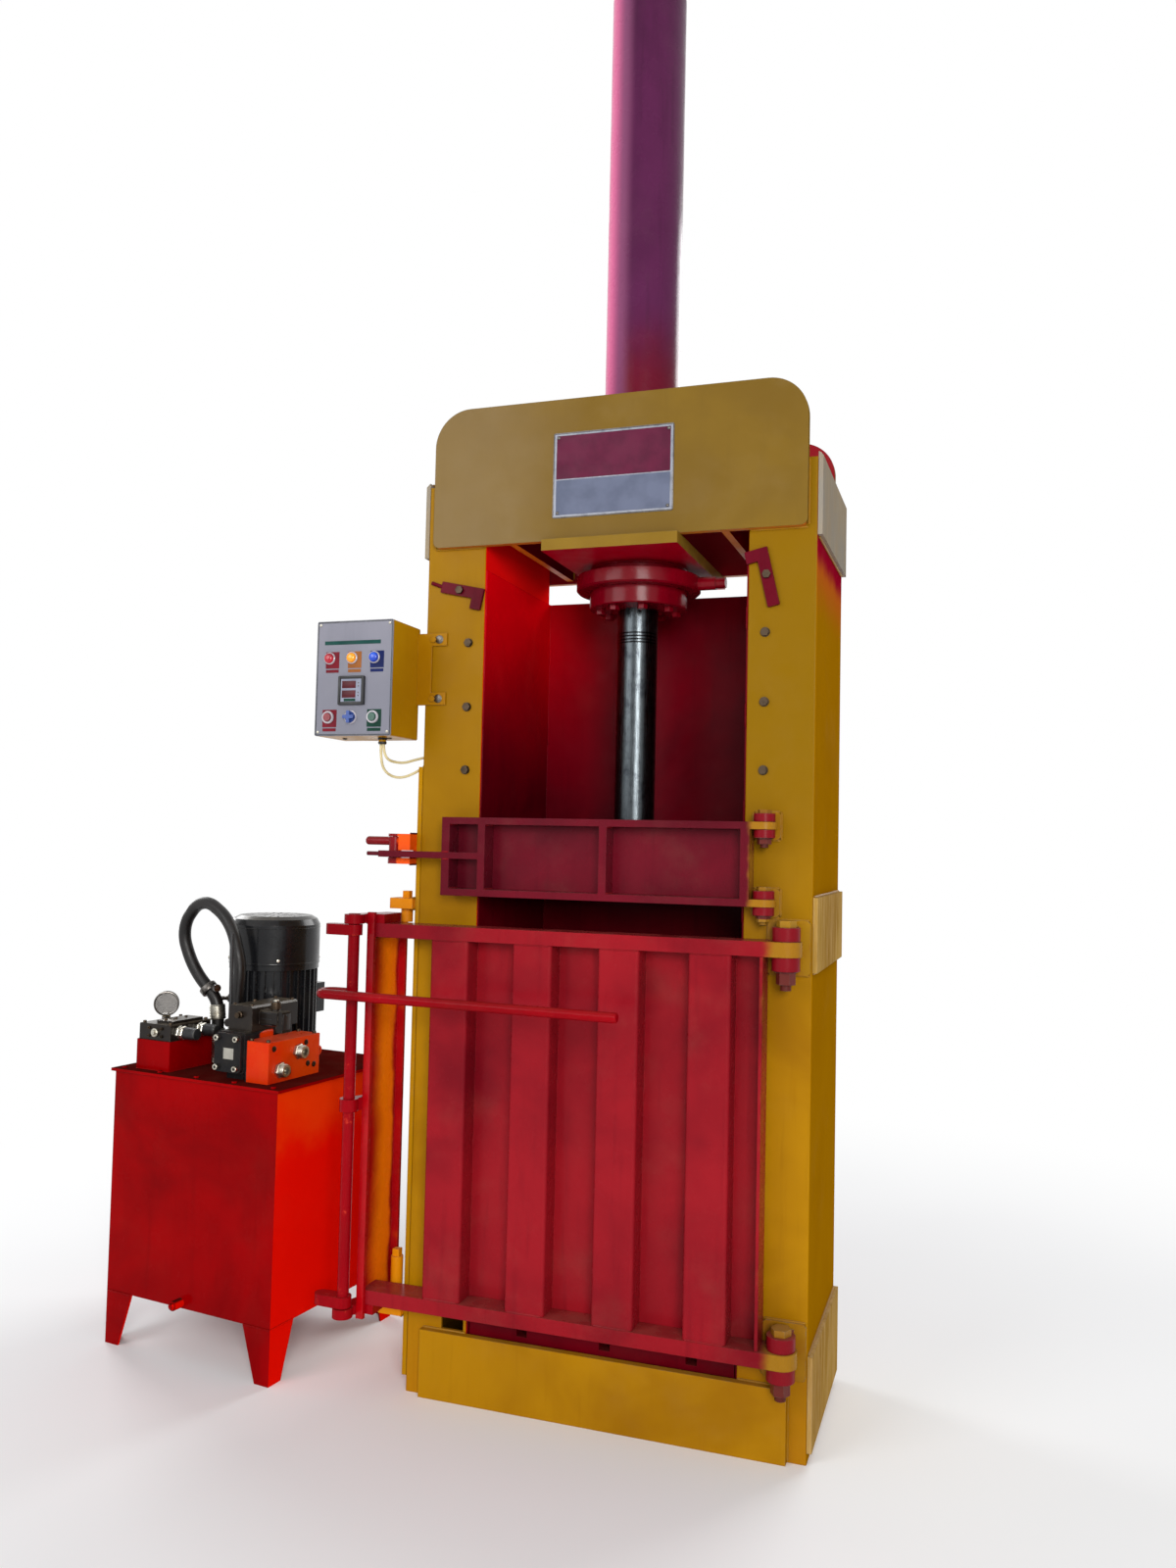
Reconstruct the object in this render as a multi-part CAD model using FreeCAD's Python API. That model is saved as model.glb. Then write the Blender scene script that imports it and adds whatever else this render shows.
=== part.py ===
import FreeCAD, Part
import math
import os

from FreeCAD import Vector as V

# A hydraulic recycling baler: a welded two-column press frame with a long cylinder
# standing on its head, a feed door, a bale door with a lock shaft, a control box on
# the left column and a free-standing power pack. Millimetres, X right, Y to the back,
# Z up. The origin lies on the floor under the ram, and the doors face -Y.

# ---------------------------------------------------------------- fits and clearances
RUNNING_FIT = 0.05      # radial clearance of a pin or shaft that turns
SLIDE_FIT = 0.08        # radial clearance of the rod and the piston
FACE_GAP = 0.4          # axial gap between faces that turn past each other

# ---------------------------------------------------------------- press frame
COLUMN_OUTER = 523.0    # half width over the columns
COLUMN_INNER = 354.5    # half width between the columns
COLUMN_HALF_DEPTH = 242.0
COLUMN_WALL = 8.0
COLUMN_TOP = 2400.0
COLUMN_CORNER_R = 4.0

HEAD_PLATE_T = 20.0
HEAD_HALF_WIDTH = 501.0
HEAD_BOTTOM = 2228.0
HEAD_TOP = 2600.0
HEAD_CORNER_R = 100.0
HEAD_FOOT_R = 18.0
HEAD_WEB_X = 288.0      # half distance between the two cross webs
HEAD_WEB_T = 20.0
HEAD_WEB_RISE = 8.0     # how far the webs end above the head plates' lower edge
HEAD_WEB_TOP_DROP = 60.0

MOUNT_PLATE_HALF_WIDTH = 182.0
MOUNT_PLATE_T = 30.0
MOUNT_PLATE_PROUD = 22.0

SILL_HALF_WIDTH = 477.0
SILL_TOP = 172.0
SILL_T = 20.0

SIDE_PLATE_T = 12.0
HEAD_SIDE_Z = (2207.0, 2412.0)
HEAD_SIDE_CHAMFER = 14.0
MID_BAND_Z = (1146.0, 1326.0)
BASE_BAND_Z = (28.0, 250.0)
LEFT_PLATE_Z = (40.0, 1640.0)

BASE_PLATE_T = 10.0
BASE_RIB_T = 12.0
BASE_RIB_COUNT = 5

# ---------------------------------------------------------------- chamber
LINER_T = 4.0
LINER_TOP = 2166.0
BACK_WALL_T = 8.0
FLOOR_TOP = 241.0
FLOOR_SLAB_T = 14.0
STRAP_SLOT_W = 28.0
STRAP_SLOT_DEPTH = 58.0
STRAP_PITCH = 222.0
STRAP_OFFSET = 19.0     # the slots sit a little to the right of the centre
STRAP_COUNT = 3
FLOOR_SIDE_GAP = 3.0
FLOOR_FRONT_SETBACK = 8.0
COLUMN_SLOT_W = 62.0    # strap pocket in the foot of the left column
COLUMN_SLOT_H = 66.0

# ---------------------------------------------------------------- cylinder and ram
TUBE_R = 103.5
TUBE_BORE_R = 88.0
TUBE_TOP = 3828.0
TUBE_CAP_T = 45.0
TUBE_SHOULDER = 10.0
FLANGE_R = 171.0
FLANGE_EDGE = 5.0
FLANGE_T = 40.0
FLANGE_NECK_R = 128.0
FLANGE_NECK_H = 24.0
GLAND_R = 134.0
GLAND_DROP = 48.0       # what the gland shows under the flange
GLAND_NOSE_R = 84.0
NOSE_FIT = 0.5          # gap round the nose in the flange
GLAND_NOSE_H = 70.0
GLAND_BOLT_COUNT = 8
GLAND_BOLT_PCD_R = 104.0
GLAND_BOLT_AF = 24.0
GLAND_BOLT_HEAD = 13.0
PORT_R = 18.0
PORT_REACH = 245.0
PORT_CAP_L = 26.0
ROD_R = 55.0
PISTON_H = 110.0
PISTON_GROOVE_H = 8.0
PISTON_GROOVE_DEPTH = 5.0
PISTON_Z = 3235.0       # lower face of the piston with the ram as photographed
PLATEN_BOTTOM = 1300.0
PLATEN_SIDE_GAP = 16.0
PLATEN_PAD_H = 60.0
PLATEN_PLATE_T = 20.0
PLATEN_RIB_H = 55.0
PLATEN_RIB_T = 14.0
PLATEN_BOSS_R = 82.0
ROD_SPIGOT_R = 22.0

# ---------------------------------------------------------------- bale (lower) door
BAR_T = 36.0            # height of the two flat bars
BAR_HALF_DEPTH = 38.0
BALE_HINGE_X = 468.0
BALE_HINGE_Y = -292.0
TOP_BAR_Z = 1187.0
BOTTOM_BAR_Z = 242.0
PANEL_LEFT = -444.0
PANEL_RIGHT = 419.5
PANEL_SHEET_T = 5.0
PANEL_BACK_GAP = 3.0    # the sheet stands this far in front of the bars' back edge
RIB_WIDTH = 105.0
RIB_PITCH = 227.5
RIB_COUNT = 4
RIB_SETBACK = 3.0
RIB_CORNER_R = 9.0
STILE_T = 8.0

BALE_PIN_R = 13.0
BALE_BUSH_R = 33.5
BALE_BUSH_H = 33.0
BALE_HEAD_AF = 42.0
BALE_HEAD_H = 16.0
BALE_NUT_AF = 40.0
BALE_NUT_H = 32.0
BALE_TIP = 14.0
BALE_PAD_HALF_W = 52.0
BALE_PAD_H = 132.0
BALE_PAD_T = 10.0

# ---------------------------------------------------------------- lock on the bale door
CHANNEL_LEFT = -621.0
CHANNEL_WEB_T = 10.0
CHANNEL_STRIP_W = 20.0
CHANNEL_STRIP_T = 12.0
CHANNEL_BACK = -170.0
CHANNEL_BACK_W = 30.0
STRIP_Z = (208.0, 1252.0)
LOCK_X = -645.0
LOCK_Y = -368.0
LOCK_SHAFT_R = 15.0
LOCK_EYE_R = 26.0
LOCK_ARM_T = 24.0
LOCK_GUIDE_Z = 740.0
LOCK_GUIDE_T = 32.0
CLAW_T = 28.0
CLAW_HUB_R = 22.0
CLAW_NOSE_R = 19.0
CLAW_REACH = 61.0       # from the shaft to the centre of the nose
CLAW_GAP = 2.0
HANDLE_Z = 1043.0
HANDLE_R = 12.5
HANDLE_BEND_R = 26.0
HANDLE_BEND_X = -690.0
HANDLE_END_X = 110.0
HANDLE_LEAN = 4.0       # degrees that the long leg stands off the door

KEEPER_X = -565.0
KEEPER_Y = -228.0
KEEPER_BARREL_R = 16.0
KEEPER_LUG_T = 28.0
KEEPER_LUG_DEPTH = 60.0
KEEPER_LUG_REACH = 70.0
KEEPER_LUG_GAP = 12.0
KEEPER_HEAD = 19.0
KEEPER_LOW_BARREL_H = 124.0
KEEPER_SEAT_GAP = 1.0

# ---------------------------------------------------------------- feed (upper) door
FEED_BAR_T = 18.0
FEED_HALF_DEPTH = 30.0
FEED_HINGE_X = 410.5
FEED_HINGE_Y = -282.0
FEED_TOP_Z = 1487.0
FEED_BOTTOM_Z = 1302.0
FEED_LEFT = -428.0
FEED_RIGHT = 380.0
FEED_STILE_W = 22.0
FEED_UPRIGHT_W = 20.0
FEED_UPRIGHTS = (-326.0, 2.0)
FEED_SHEET_T = 4.0
FEED_ARM_Z = (1397.0, 1414.0)
FEED_ARM_DEPTH = 30.0
FEED_ARM_END = -612.0
FEED_TIP_R = 5.5
FEED_TIP_END = -652.0

FEED_PIN_R = 10.0
FEED_BUSH_R = 26.0
FEED_BUSH_H = 20.0
FEED_HEAD_AF = 30.0
FEED_HEAD_H = 9.0
FEED_NUT_AF = 30.0
FEED_NUT_H = 15.0
FEED_TIP = 8.0
FEED_PAD_HALF_W = 34.0
FEED_PAD_H = 70.0
FEED_PAD_T = 8.0

LATCH_X = -589.0
LATCH_Y = -262.0
LATCH_BARREL_R = 17.0
LATCH_PIN_R = 6.0
LATCH_LOWER_T = 16.0
LATCH_UPPER_T = 7.0
LATCH_CHEEK_Z = 1415.0
LATCH_CHEEK_GAP = 2.0
LATCH_LOWER_Z = 1379.0
LATCH_UPPER_Z = 1452.0
LATCH_NOSE_R = 19.0
LATCH_PLATE_DEPTH = 66.0
LATCH_ROD_R = 11.5
LATCH_ROD_Z = 1439.5
LATCH_REACH = 87.0
LATCH_END_R = 9.0       # rounding of the handle's end

# ---------------------------------------------------------------- catches on the columns
CATCH_LEFT = (-423.0, 2113.0)
CATCH_RIGHT = (401.5, 2113.0)
CATCH_W = 30.0
CATCH_T = 10.0
CATCH_LEFT_TAIL = 56.0  # from the bolt to the plain end of the long leg
CATCH_RIGHT_TAIL = 80.0
CATCH_TO_CORNER = 53.0
CATCH_SHORT = 58.0
CATCH_BOLT_R = 6.0
CATCH_BOLT_AF = 19.0
CATCH_BOLT_HEAD = 8.0
CATCH_ROD_R = 5.0
CATCH_ROD_L = 32.0
CATCH_LEFT_TURN = 12.0
CATCH_RIGHT_TURN = 77.0

COLUMN_BOLT_X = 398.0
COLUMN_BOLT_Z = (1632.0, 1800.0, 1972.0)
COLUMN_BOLT_AF = 19.0
COLUMN_BOLT_HEAD = 7.0
COLUMN_WASHER_R = 12.0
COLUMN_WASHER_T = 2.0

NAME_PLATE_X = 2.0
NAME_PLATE_Z = (2286.0, 2510.0)
NAME_PLATE_HALF_W = 162.0
NAME_PLATE_T = 1.5

# ---------------------------------------------------------------- control box
BOX_X = (-771.0, -546.0)
BOX_Y = (-384.0, -235.0)
BOX_Z = (1712.0, 2016.0)
BOX_WALL = 2.0
BOX_CORNER_R = 5.0
PANEL_T = 3.0
LAMP_X = (-730.5, -664.5, -598.5)
LAMP_Z = 1917.0
LAMP_R = 16.0
LAMP_BEZEL_H = 6.0
LAMP_LENS_R = 12.5
LAMP_LENS_H = 8.0
METER_X = -662.0
METER_Z = 1831.0
METER_W = 76.0
METER_BEZEL = 8.0
METER_RECESS = 1.5
BUTTON_Z = 1761.0
BUTTON_CAP_R = 11.0
BUTTON_STEM_L = 12.0
BUTTON_TRAVEL = 4.0
BUTTON_SLEEVE_H = 6.0
BUTTON_SLEEVE_R = BUTTON_CAP_R + RUNNING_FIT
KNOB_R = 14.0
KNOB_H = 16.0
KNOB_GRIP_W = 9.0
KNOB_GRIP_L = 32.0
KNOB_SHANK_R = 6.0
BRACKET_T = 5.0
BRACKET_Z = (1806.0, 2000.0)
BRACKET_RIGHT = -460.0
BRACKET_TAB_H = 34.0
BRACKET_SCREW_R = 8.0
CABLE_GLAND = (-604.0, -322.0)
CABLE_GLAND_R = 10.0
CABLE_GLAND_H = 16.0
CABLE_R = 3.5
CABLE_ENTRY_R = 8.0
CABLE_ENTRY_H = 6.0

# ---------------------------------------------------------------- power pack, own frame
# Its own frame has its origin on the floor under the tank's front right corner,
# x along the tank's front and y into its depth.
PACK_X = -863.0
PACK_Y = -360.0
PACK_TURN = -7.25
TANK_W = 593.0
TANK_D = 545.0
TANK_BOTTOM = 147.0
TANK_TOP = 764.0
TANK_WALL = 5.0
LID_T = 8.0
LID_TOP = TANK_TOP + LID_T
LID_LIP = 9.0
LEG_TOP_W = 94.0
LEG_FOOT_W = 48.0
LEG_T = 6.0
DRAIN_X = -315.0
DRAIN_Z = TANK_BOTTOM + 14.0
DRAIN_R = 13.0
DRAIN_L = 30.0

MOTOR_X = -322.0
MOTOR_Y = 345.0
MOTOR_CORE_R = 116.0
MOTOR_FIN_R = 129.0
MOTOR_FIN_COUNT = 32
MOTOR_FIN_T = 4.0
MOTOR_FLANGE_R = 128.0
MOTOR_FLANGE_H = 22.0
MOTOR_BODY_H = 290.0
MOTOR_SHIELD_H = 34.0
COWL_R = 133.0
COWL_H = 144.0
COWL_WALL = 2.0
COWL_SEAT_H = 14.0      # end shield rim that the cowl stands on
COWL_CROWN = 26.0
COWL_SLOT_RINGS = 2
COWL_SLOT_START = 22.0
COWL_SLOT_PITCH = 44.0
COWL_SLOT_L = 34.0
COWL_SLOT_W = 5.0
COWL_SLOT_COUNT = 12
FAN_R = 108.0
FAN_HUB_R = 22.0
FAN_BLADE_T = 3.0
FAN_BLADE_COUNT = 9
FAN_H = 44.0
MOTOR_SHAFT_R = 14.0
PUMP_L = 150.0
PUMP_R = 62.0
BELL_R = 84.0
BELL_H = 90.0

RISER_X = (-542.0, -416.0)
RISER_Y = (26.0, 192.0)
RISER_H = 84.0
VALVE_H = 46.0
VALVE_INSET = 4.0
GAUGE_X = -528.0
GAUGE_Y = 120.0
GAUGE_H = 45.0          # the dial's centre above the valve
GAUGE_Z = LID_TOP + RISER_H + VALVE_H + GAUGE_H
GAUGE_R = 34.0
GAUGE_DEPTH = 26.0
GAUGE_TURN = 42.0       # the dial looks this far to the right of the tank's front
NEEDLE_L = 24.0
NEEDLE_HUB_R = 4.0
NEEDLE_ANGLE = 225.0    # points to the lower left of the dial
FITTING_Y = (62.0, 140.0)
FITTING_R = 15.0
FITTING_COLLAR = 28.0
FITTING_CAP = 42.0
FITTING_CAP_R = 16.0

HOSE_R = 18.0
FERRULE_R = 21.0
FERRULE_H = 40.0
FERRULE_FOOT_H = 14.0
# the loop's points, each with its height above the lid
HOSE_LOOP = ((-424.0, 222.0, 96.0), (-424.0, 222.0, 178.0), (-512.0, 206.0, 268.0), (-556.0, 194.0, 390.0),
             (-462.0, 180.0, 490.0), (-338.0, 168.0, 424.0), (-292.0, 165.0, 298.0),
             (-300.0, 165.0, 213.0), (-300.0, 165.0, 143.0))
HOSE_ROUTE = tuple((x, y, LID_TOP + height) for x, y, height in HOSE_LOOP)

BLOCK_X = (-250.0, -150.0)
BLOCK_Y = (36.0, 150.0)
BLOCK_FOOT_H = 20.0
BLOCK_H = 112.0
BLOCK_Z = (LID_TOP + BLOCK_FOOT_H, LID_TOP + BLOCK_FOOT_H + BLOCK_H)
BLOCK_BOLT_R = 7.0
MANIFOLD_X = (-148.0, -66.0)
MANIFOLD_Y = (36.0, 250.0)
MANIFOLD_H = 112.0
STACK_X = (-232.0, -150.0)
STACK_Y = (60.0, 250.0)
STACK_H = 70.0
COIL_W = 42.0
COIL_L = 62.0
PLUG_W = 34.0
PLUG_H = 58.0
KNURL_R = 12.0
KNURL_H = 26.0
LEVER_X = -283.0
LEVER_Y = 120.0
LEVER_R = 6.0
LEVER_EYE_H = 8.0       # the lever's eye above the pump block
LEVER_L = 254.0
LEVER_Z = (BLOCK_Z[1] + LEVER_EYE_H, BLOCK_Z[1] + LEVER_EYE_H + LEVER_L)
LEVER_EYE_R = 14.0
PORT_FIT_R = 17.0
PORT_FIT_L = 26.0
PORT_FIT_BORE = 10.0
RING_R = 14.0
RING_T = 10.0
RING_BORE_R = 7.0


# ---------------------------------------------------------------- shape helpers
def block(x, y, z):
    """Box between two values on each axis."""
    return Part.makeBox(x[1] - x[0], y[1] - y[0], z[1] - z[0], V(x[0], y[0], z[0]))


def rod(start, end, radius):
    """Round bar between two points."""
    a, b = V(*start), V(*end)
    return Part.makeCylinder(radius, (b - a).Length, a, b - a)


def upright(x, y, z0, z1, radius):
    """Round bar standing on Z."""
    return Part.makeCylinder(radius, z1 - z0, V(x, y, z0))


def prism(points, z0, z1):
    """Plate with a straight-sided plan outline."""
    corners = [V(x, y, z0) for x, y in points]
    face = Part.Face(Part.makePolygon(corners + corners[:1]))
    return face.extrude(V(0, 0, z1 - z0))


def front_plate(points, y0, y1):
    """Plate whose outline lies in the XZ plane."""
    corners = [V(x, y0, z) for x, z in points]
    face = Part.Face(Part.makePolygon(corners + corners[:1]))
    return face.extrude(V(0, y1 - y0, 0))


def hexagon(x, y, z0, z1, across_flats):
    """Hexagonal bar standing on Z."""
    radius = across_flats / math.sqrt(3.0)
    turns = [math.radians(60.0 * i) for i in range(6)]
    return prism([(x + radius * math.cos(a), y + radius * math.sin(a)) for a in turns], z0, z1)


def hexagon_y(x, z, y0, y1, across_flats):
    """Hexagonal bar lying along Y."""
    radius = across_flats / math.sqrt(3.0)
    turns = [math.radians(60.0 * i) for i in range(6)]
    points = [(x + radius * math.cos(a), z + radius * math.sin(a)) for a in turns]
    return front_plate(points, y0, y1)


def revolve(profile, x=0.0, y=0.0):
    """Turned piece about a Z axis, from (radius, z) corners."""
    corners = [V(x + r, y, z) for r, z in profile]
    face = Part.Face(Part.makePolygon(corners + corners[:1]))
    return face.revolve(V(x, y, 0), V(0, 0, 1), 360)


def fuse(shapes):
    """One clean solid from pieces that are welded or cast together."""
    whole = shapes[0].multiFuse(shapes[1:]).removeSplitter()
    return whole


def group(shapes):
    """Separate solids that share one node."""
    return Part.makeCompound(shapes)


def edges_along(shape, axis, keep=lambda e: True):
    """Straight edges of a shape that run along an axis."""
    found = []
    for edge in shape.Edges:
        if edge.Curve.TypeId != "Part::GeomLine":
            continue
        run = edge.Vertexes[-1].Point - edge.Vertexes[0].Point
        run.normalize()
        if abs(abs(run.dot(axis)) - 1.0) < 1e-6 and keep(edge):
            found.append(edge)
    return found


def round_along(shape, axis, radius, keep=lambda e: True):
    """Round the straight edges that run along an axis."""
    return shape.makeFillet(radius, edges_along(shape, axis, keep))


def hull_plate(first, first_r, second, second_r, z0, z1):
    """Plate with two round ends joined by tangent sides, as a claw or an arm."""
    a, b = V(*first, z0), V(*second, z0)
    run = b - a
    length = run.Length
    lean = math.acos((first_r - second_r) / length)
    heading = math.atan2(run.y, run.x)
    corners = []
    for centre, radius in ((a, first_r), (b, second_r)):
        for side in (-1.0, 1.0):
            turn = heading + side * lean
            corners.append(centre + V(math.cos(turn), math.sin(turn), 0) * radius)
    outline = [corners[0], corners[2], corners[3], corners[1]]
    web = prism([(p.x, p.y) for p in outline], z0, z1)
    ends = [upright(a.x, a.y, z0, z1, first_r), upright(b.x, b.y, z0, z1, second_r)]
    return fuse([web] + ends)


def disc(centre, heading, radius):
    """Round face across a run."""
    return Part.Face(Part.Wire(Part.Circle(centre, heading, radius).toShape()))


def tube(points, radius):
    """Round hose or cable of straight runs joined by tangent arcs.

    Each arc takes up 0.45 of its shorter run on both sides of its corner."""
    points = [V(*p) for p in points]
    pieces = []
    bends = []
    length = 0.0
    start = points[0]
    for before, corner, after in zip(points, points[1:], points[2:]):
        inward = (corner - before).normalize()
        outward = (after - corner).normalize()
        turn = inward.getAngle(outward)
        setback = 0.45 * min((corner - before).Length, (after - corner).Length)
        bend = setback / math.tan(turn / 2.0)
        first = corner - inward * setback
        axis = inward.cross(outward).normalize()
        centre = first + axis.cross(inward) * bend
        pieces.append(rod(start, first, radius))
        pieces.append(disc(first, inward, radius).revolve(centre, axis, math.degrees(turn)))
        length += (first - start).Length + bend * turn
        bends.append(bend)
        start = corner + outward * setback
    pieces.append(rod(start, points[-1], radius))
    length += (points[-1] - start).Length
    shape = fuse(pieces)
    share = shape.Volume / (math.pi * radius ** 2 * length)
    print("tube length %.1f, bends %s, volume over section times length %.4f"
          % (length, [round(r, 1) for r in bends], share))
    return shape


def in_pack(shape):
    """Move a piece from the power pack's own frame to the baler's."""
    moved = shape.copy()
    moved.rotate(V(0, 0, 0), V(0, 0, 1), PACK_TURN)
    moved.translate(V(PACK_X, PACK_Y, 0))
    return moved


def save(name, shape):
    """Write one sub-part."""
    solids = shape.Solids
    if not solids or not shape.isValid():
        raise ValueError("bad shape: " + name)
    if len(solids) == 1:
        shape = solids[0]
    shape.exportStep(os.path.join("parts", name + ".step"))


# ---------------------------------------------------------------- press frame
def column(side):
    """Hollow fabricated column with a cap and a foot plate; side is -1 left, +1 right."""
    middle = side * (COLUMN_OUTER + COLUMN_INNER) / 2.0
    half = (COLUMN_OUTER - COLUMN_INNER) / 2.0
    depth = COLUMN_HALF_DEPTH
    outer = block((middle - half, middle + half), (-depth, depth), (0.0, COLUMN_TOP))
    outer = round_along(outer, V(0, 0, 1), COLUMN_CORNER_R)
    wall = COLUMN_WALL
    inner = block((middle - half + wall, middle + half - wall), (-depth + wall, depth - wall),
                  (wall, COLUMN_TOP - wall))
    shape = outer.cut(inner)
    catch = CATCH_LEFT if side < 0 else CATCH_RIGHT
    shape = shape.cut(rod((catch[0], -depth - 1.0, catch[1]), (catch[0], -depth + wall + 1.0, catch[1]),
                          CATCH_BOLT_R))
    if side < 0:
        edge = -COLUMN_INNER - wall
        pocket = block((edge - COLUMN_SLOT_W, edge), (-depth - 1.0, -depth + wall + 1.0),
                       (SILL_TOP + 3.0, SILL_TOP + 3.0 + COLUMN_SLOT_H))
        shape = shape.cut(pocket)
    return shape


def head_plate(front):
    """Thick head plate with big upper corner rounds, welded on the columns' faces."""
    inner = COLUMN_HALF_DEPTH
    y = (-inner - HEAD_PLATE_T, -inner) if front else (inner, inner + HEAD_PLATE_T)
    shape = block((-HEAD_HALF_WIDTH, HEAD_HALF_WIDTH), y, (HEAD_BOTTOM, HEAD_TOP))
    along = V(0, 1, 0)
    shape = round_along(shape, along, HEAD_CORNER_R, lambda e: e.CenterOfMass.z > HEAD_TOP - 1.0)
    shape = round_along(shape, along, HEAD_FOOT_R, lambda e: e.CenterOfMass.z < HEAD_BOTTOM + 1.0)
    return shape


def head_webs():
    """Two cross webs between the head plates, either side of the cylinder."""
    webs = []
    depth = COLUMN_HALF_DEPTH
    for side in (-1.0, 1.0):
        near = side * HEAD_WEB_X - HEAD_WEB_T / 2.0
        webs.append(block((near, near + HEAD_WEB_T), (-depth, depth),
                          (HEAD_BOTTOM + HEAD_WEB_RISE, HEAD_TOP - HEAD_WEB_TOP_DROP)))
    return group(webs)


def mount_plate():
    """Thick plate under the head that the cylinder flange bolts to."""
    reach = COLUMN_HALF_DEPTH + HEAD_PLATE_T + MOUNT_PLATE_PROUD
    plate = block((-MOUNT_PLATE_HALF_WIDTH, MOUNT_PLATE_HALF_WIDTH), (-reach, reach),
                  (HEAD_BOTTOM - MOUNT_PLATE_T, HEAD_BOTTOM))
    plate = round_along(plate, V(0, 0, 1), 3.0)
    hole = upright(0.0, 0.0, HEAD_BOTTOM - MOUNT_PLATE_T, HEAD_BOTTOM, TUBE_R)
    return plate.cut(hole)


def side_plates():
    """Flat plates welded on the columns' outer sides."""
    depth = COLUMN_HALF_DEPTH
    y = (-depth, depth)
    right = (COLUMN_OUTER, COLUMN_OUTER + SIDE_PLATE_T)
    left = (-COLUMN_OUTER - SIDE_PLATE_T, -COLUMN_OUTER)
    plates = []
    for x, outer in ((right, right[1]), (left, left[0])):
        plate = block(x, y, HEAD_SIDE_Z)
        top = [e for e in edges_along(plate, V(0, 1, 0))
               if e.CenterOfMass.z > HEAD_SIDE_Z[1] - 1.0 and abs(e.CenterOfMass.x - outer) < 1.0]
        plates.append(plate.makeChamfer(min(HEAD_SIDE_CHAMFER, 0.8 * SIDE_PLATE_T), top))
    plates.append(block(right, y, MID_BAND_Z))
    plates.append(block(right, y, BASE_BAND_Z))
    plates.append(block(left, y, LEFT_PLATE_Z))
    return group(plates)


def sill_plates():
    """Front and back sill plates across the columns' feet."""
    depth = COLUMN_HALF_DEPTH
    x = (-SILL_HALF_WIDTH, SILL_HALF_WIDTH)
    return group([block(x, (-depth - SILL_T, -depth), (0.0, SILL_TOP)),
                  block(x, (depth, depth + SILL_T), (0.0, SILL_TOP))])


def base_frame():
    """Bottom plate between the columns with upright ribs that carry the chamber floor."""
    x = (-COLUMN_INNER, COLUMN_INNER)
    y = (-COLUMN_HALF_DEPTH, COLUMN_HALF_DEPTH)
    top = FLOOR_TOP - STRAP_SLOT_DEPTH - FLOOR_SLAB_T
    pieces = [block(x, y, (0.0, BASE_PLATE_T))]
    step = (x[1] - x[0] - BASE_RIB_T) / (BASE_RIB_COUNT - 1)
    for i in range(BASE_RIB_COUNT):
        left = x[0] + i * step
        pieces.append(block((left, left + BASE_RIB_T), y, (0.0, top)))
    return fuse(pieces)


def strap_slots(y, z):
    """The strap grooves of the floor and the platen, which line up."""
    slots = []
    for i in range(STRAP_COUNT):
        middle = STRAP_OFFSET + (i - (STRAP_COUNT - 1) / 2.0) * STRAP_PITCH
        slots.append(block((middle - STRAP_SLOT_W / 2.0, middle + STRAP_SLOT_W / 2.0), y, z))
    return slots


def chamber_floor():
    """Thick pressing floor with strap grooves from front to back."""
    half = COLUMN_INNER - LINER_T - FLOOR_SIDE_GAP
    y = (-COLUMN_HALF_DEPTH + FLOOR_FRONT_SETBACK, COLUMN_HALF_DEPTH)
    bottom = FLOOR_TOP - STRAP_SLOT_DEPTH - FLOOR_SLAB_T
    floor = block((-half, half), y, (bottom, FLOOR_TOP))
    for slot in strap_slots((y[0] - 1.0, y[1] + 1.0), (FLOOR_TOP - STRAP_SLOT_DEPTH, FLOOR_TOP + 1.0)):
        floor = floor.cut(slot)
    return floor


def chamber_walls():
    """Red liner sheets on the columns' inner sides and the plate that closes the back."""
    depth = COLUMN_HALF_DEPTH
    bottom = FLOOR_TOP - STRAP_SLOT_DEPTH - FLOOR_SLAB_T
    walls = []
    for side in (-1.0, 1.0):
        inner = side * (COLUMN_INNER - LINER_T)
        x = tuple(sorted((inner, side * COLUMN_INNER)))
        walls.append(block(x, (-depth + COLUMN_CORNER_R, depth), (bottom, LINER_TOP)))
    half = (COLUMN_OUTER + COLUMN_INNER) / 2.0
    walls.append(block((-half, half), (depth, depth + BACK_WALL_T), (SILL_TOP + 1.0, LINER_TOP)))
    return group(walls)


# ---------------------------------------------------------------- bolts on the columns
def column_bolts():
    """Six hex bolt heads with washers on the columns' front faces."""
    face = -COLUMN_HALF_DEPTH
    bolts = []
    for side in (-1.0, 1.0):
        x = side * COLUMN_BOLT_X
        for z in COLUMN_BOLT_Z:
            washer = rod((x, face - COLUMN_WASHER_T, z), (x, face, z), COLUMN_WASHER_R)
            head = hexagon_y(x, z, face - COLUMN_WASHER_T - COLUMN_BOLT_HEAD, face - COLUMN_WASHER_T,
                             COLUMN_BOLT_AF)
            bolts.append(fuse([washer, head]))
    return bolts


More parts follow.
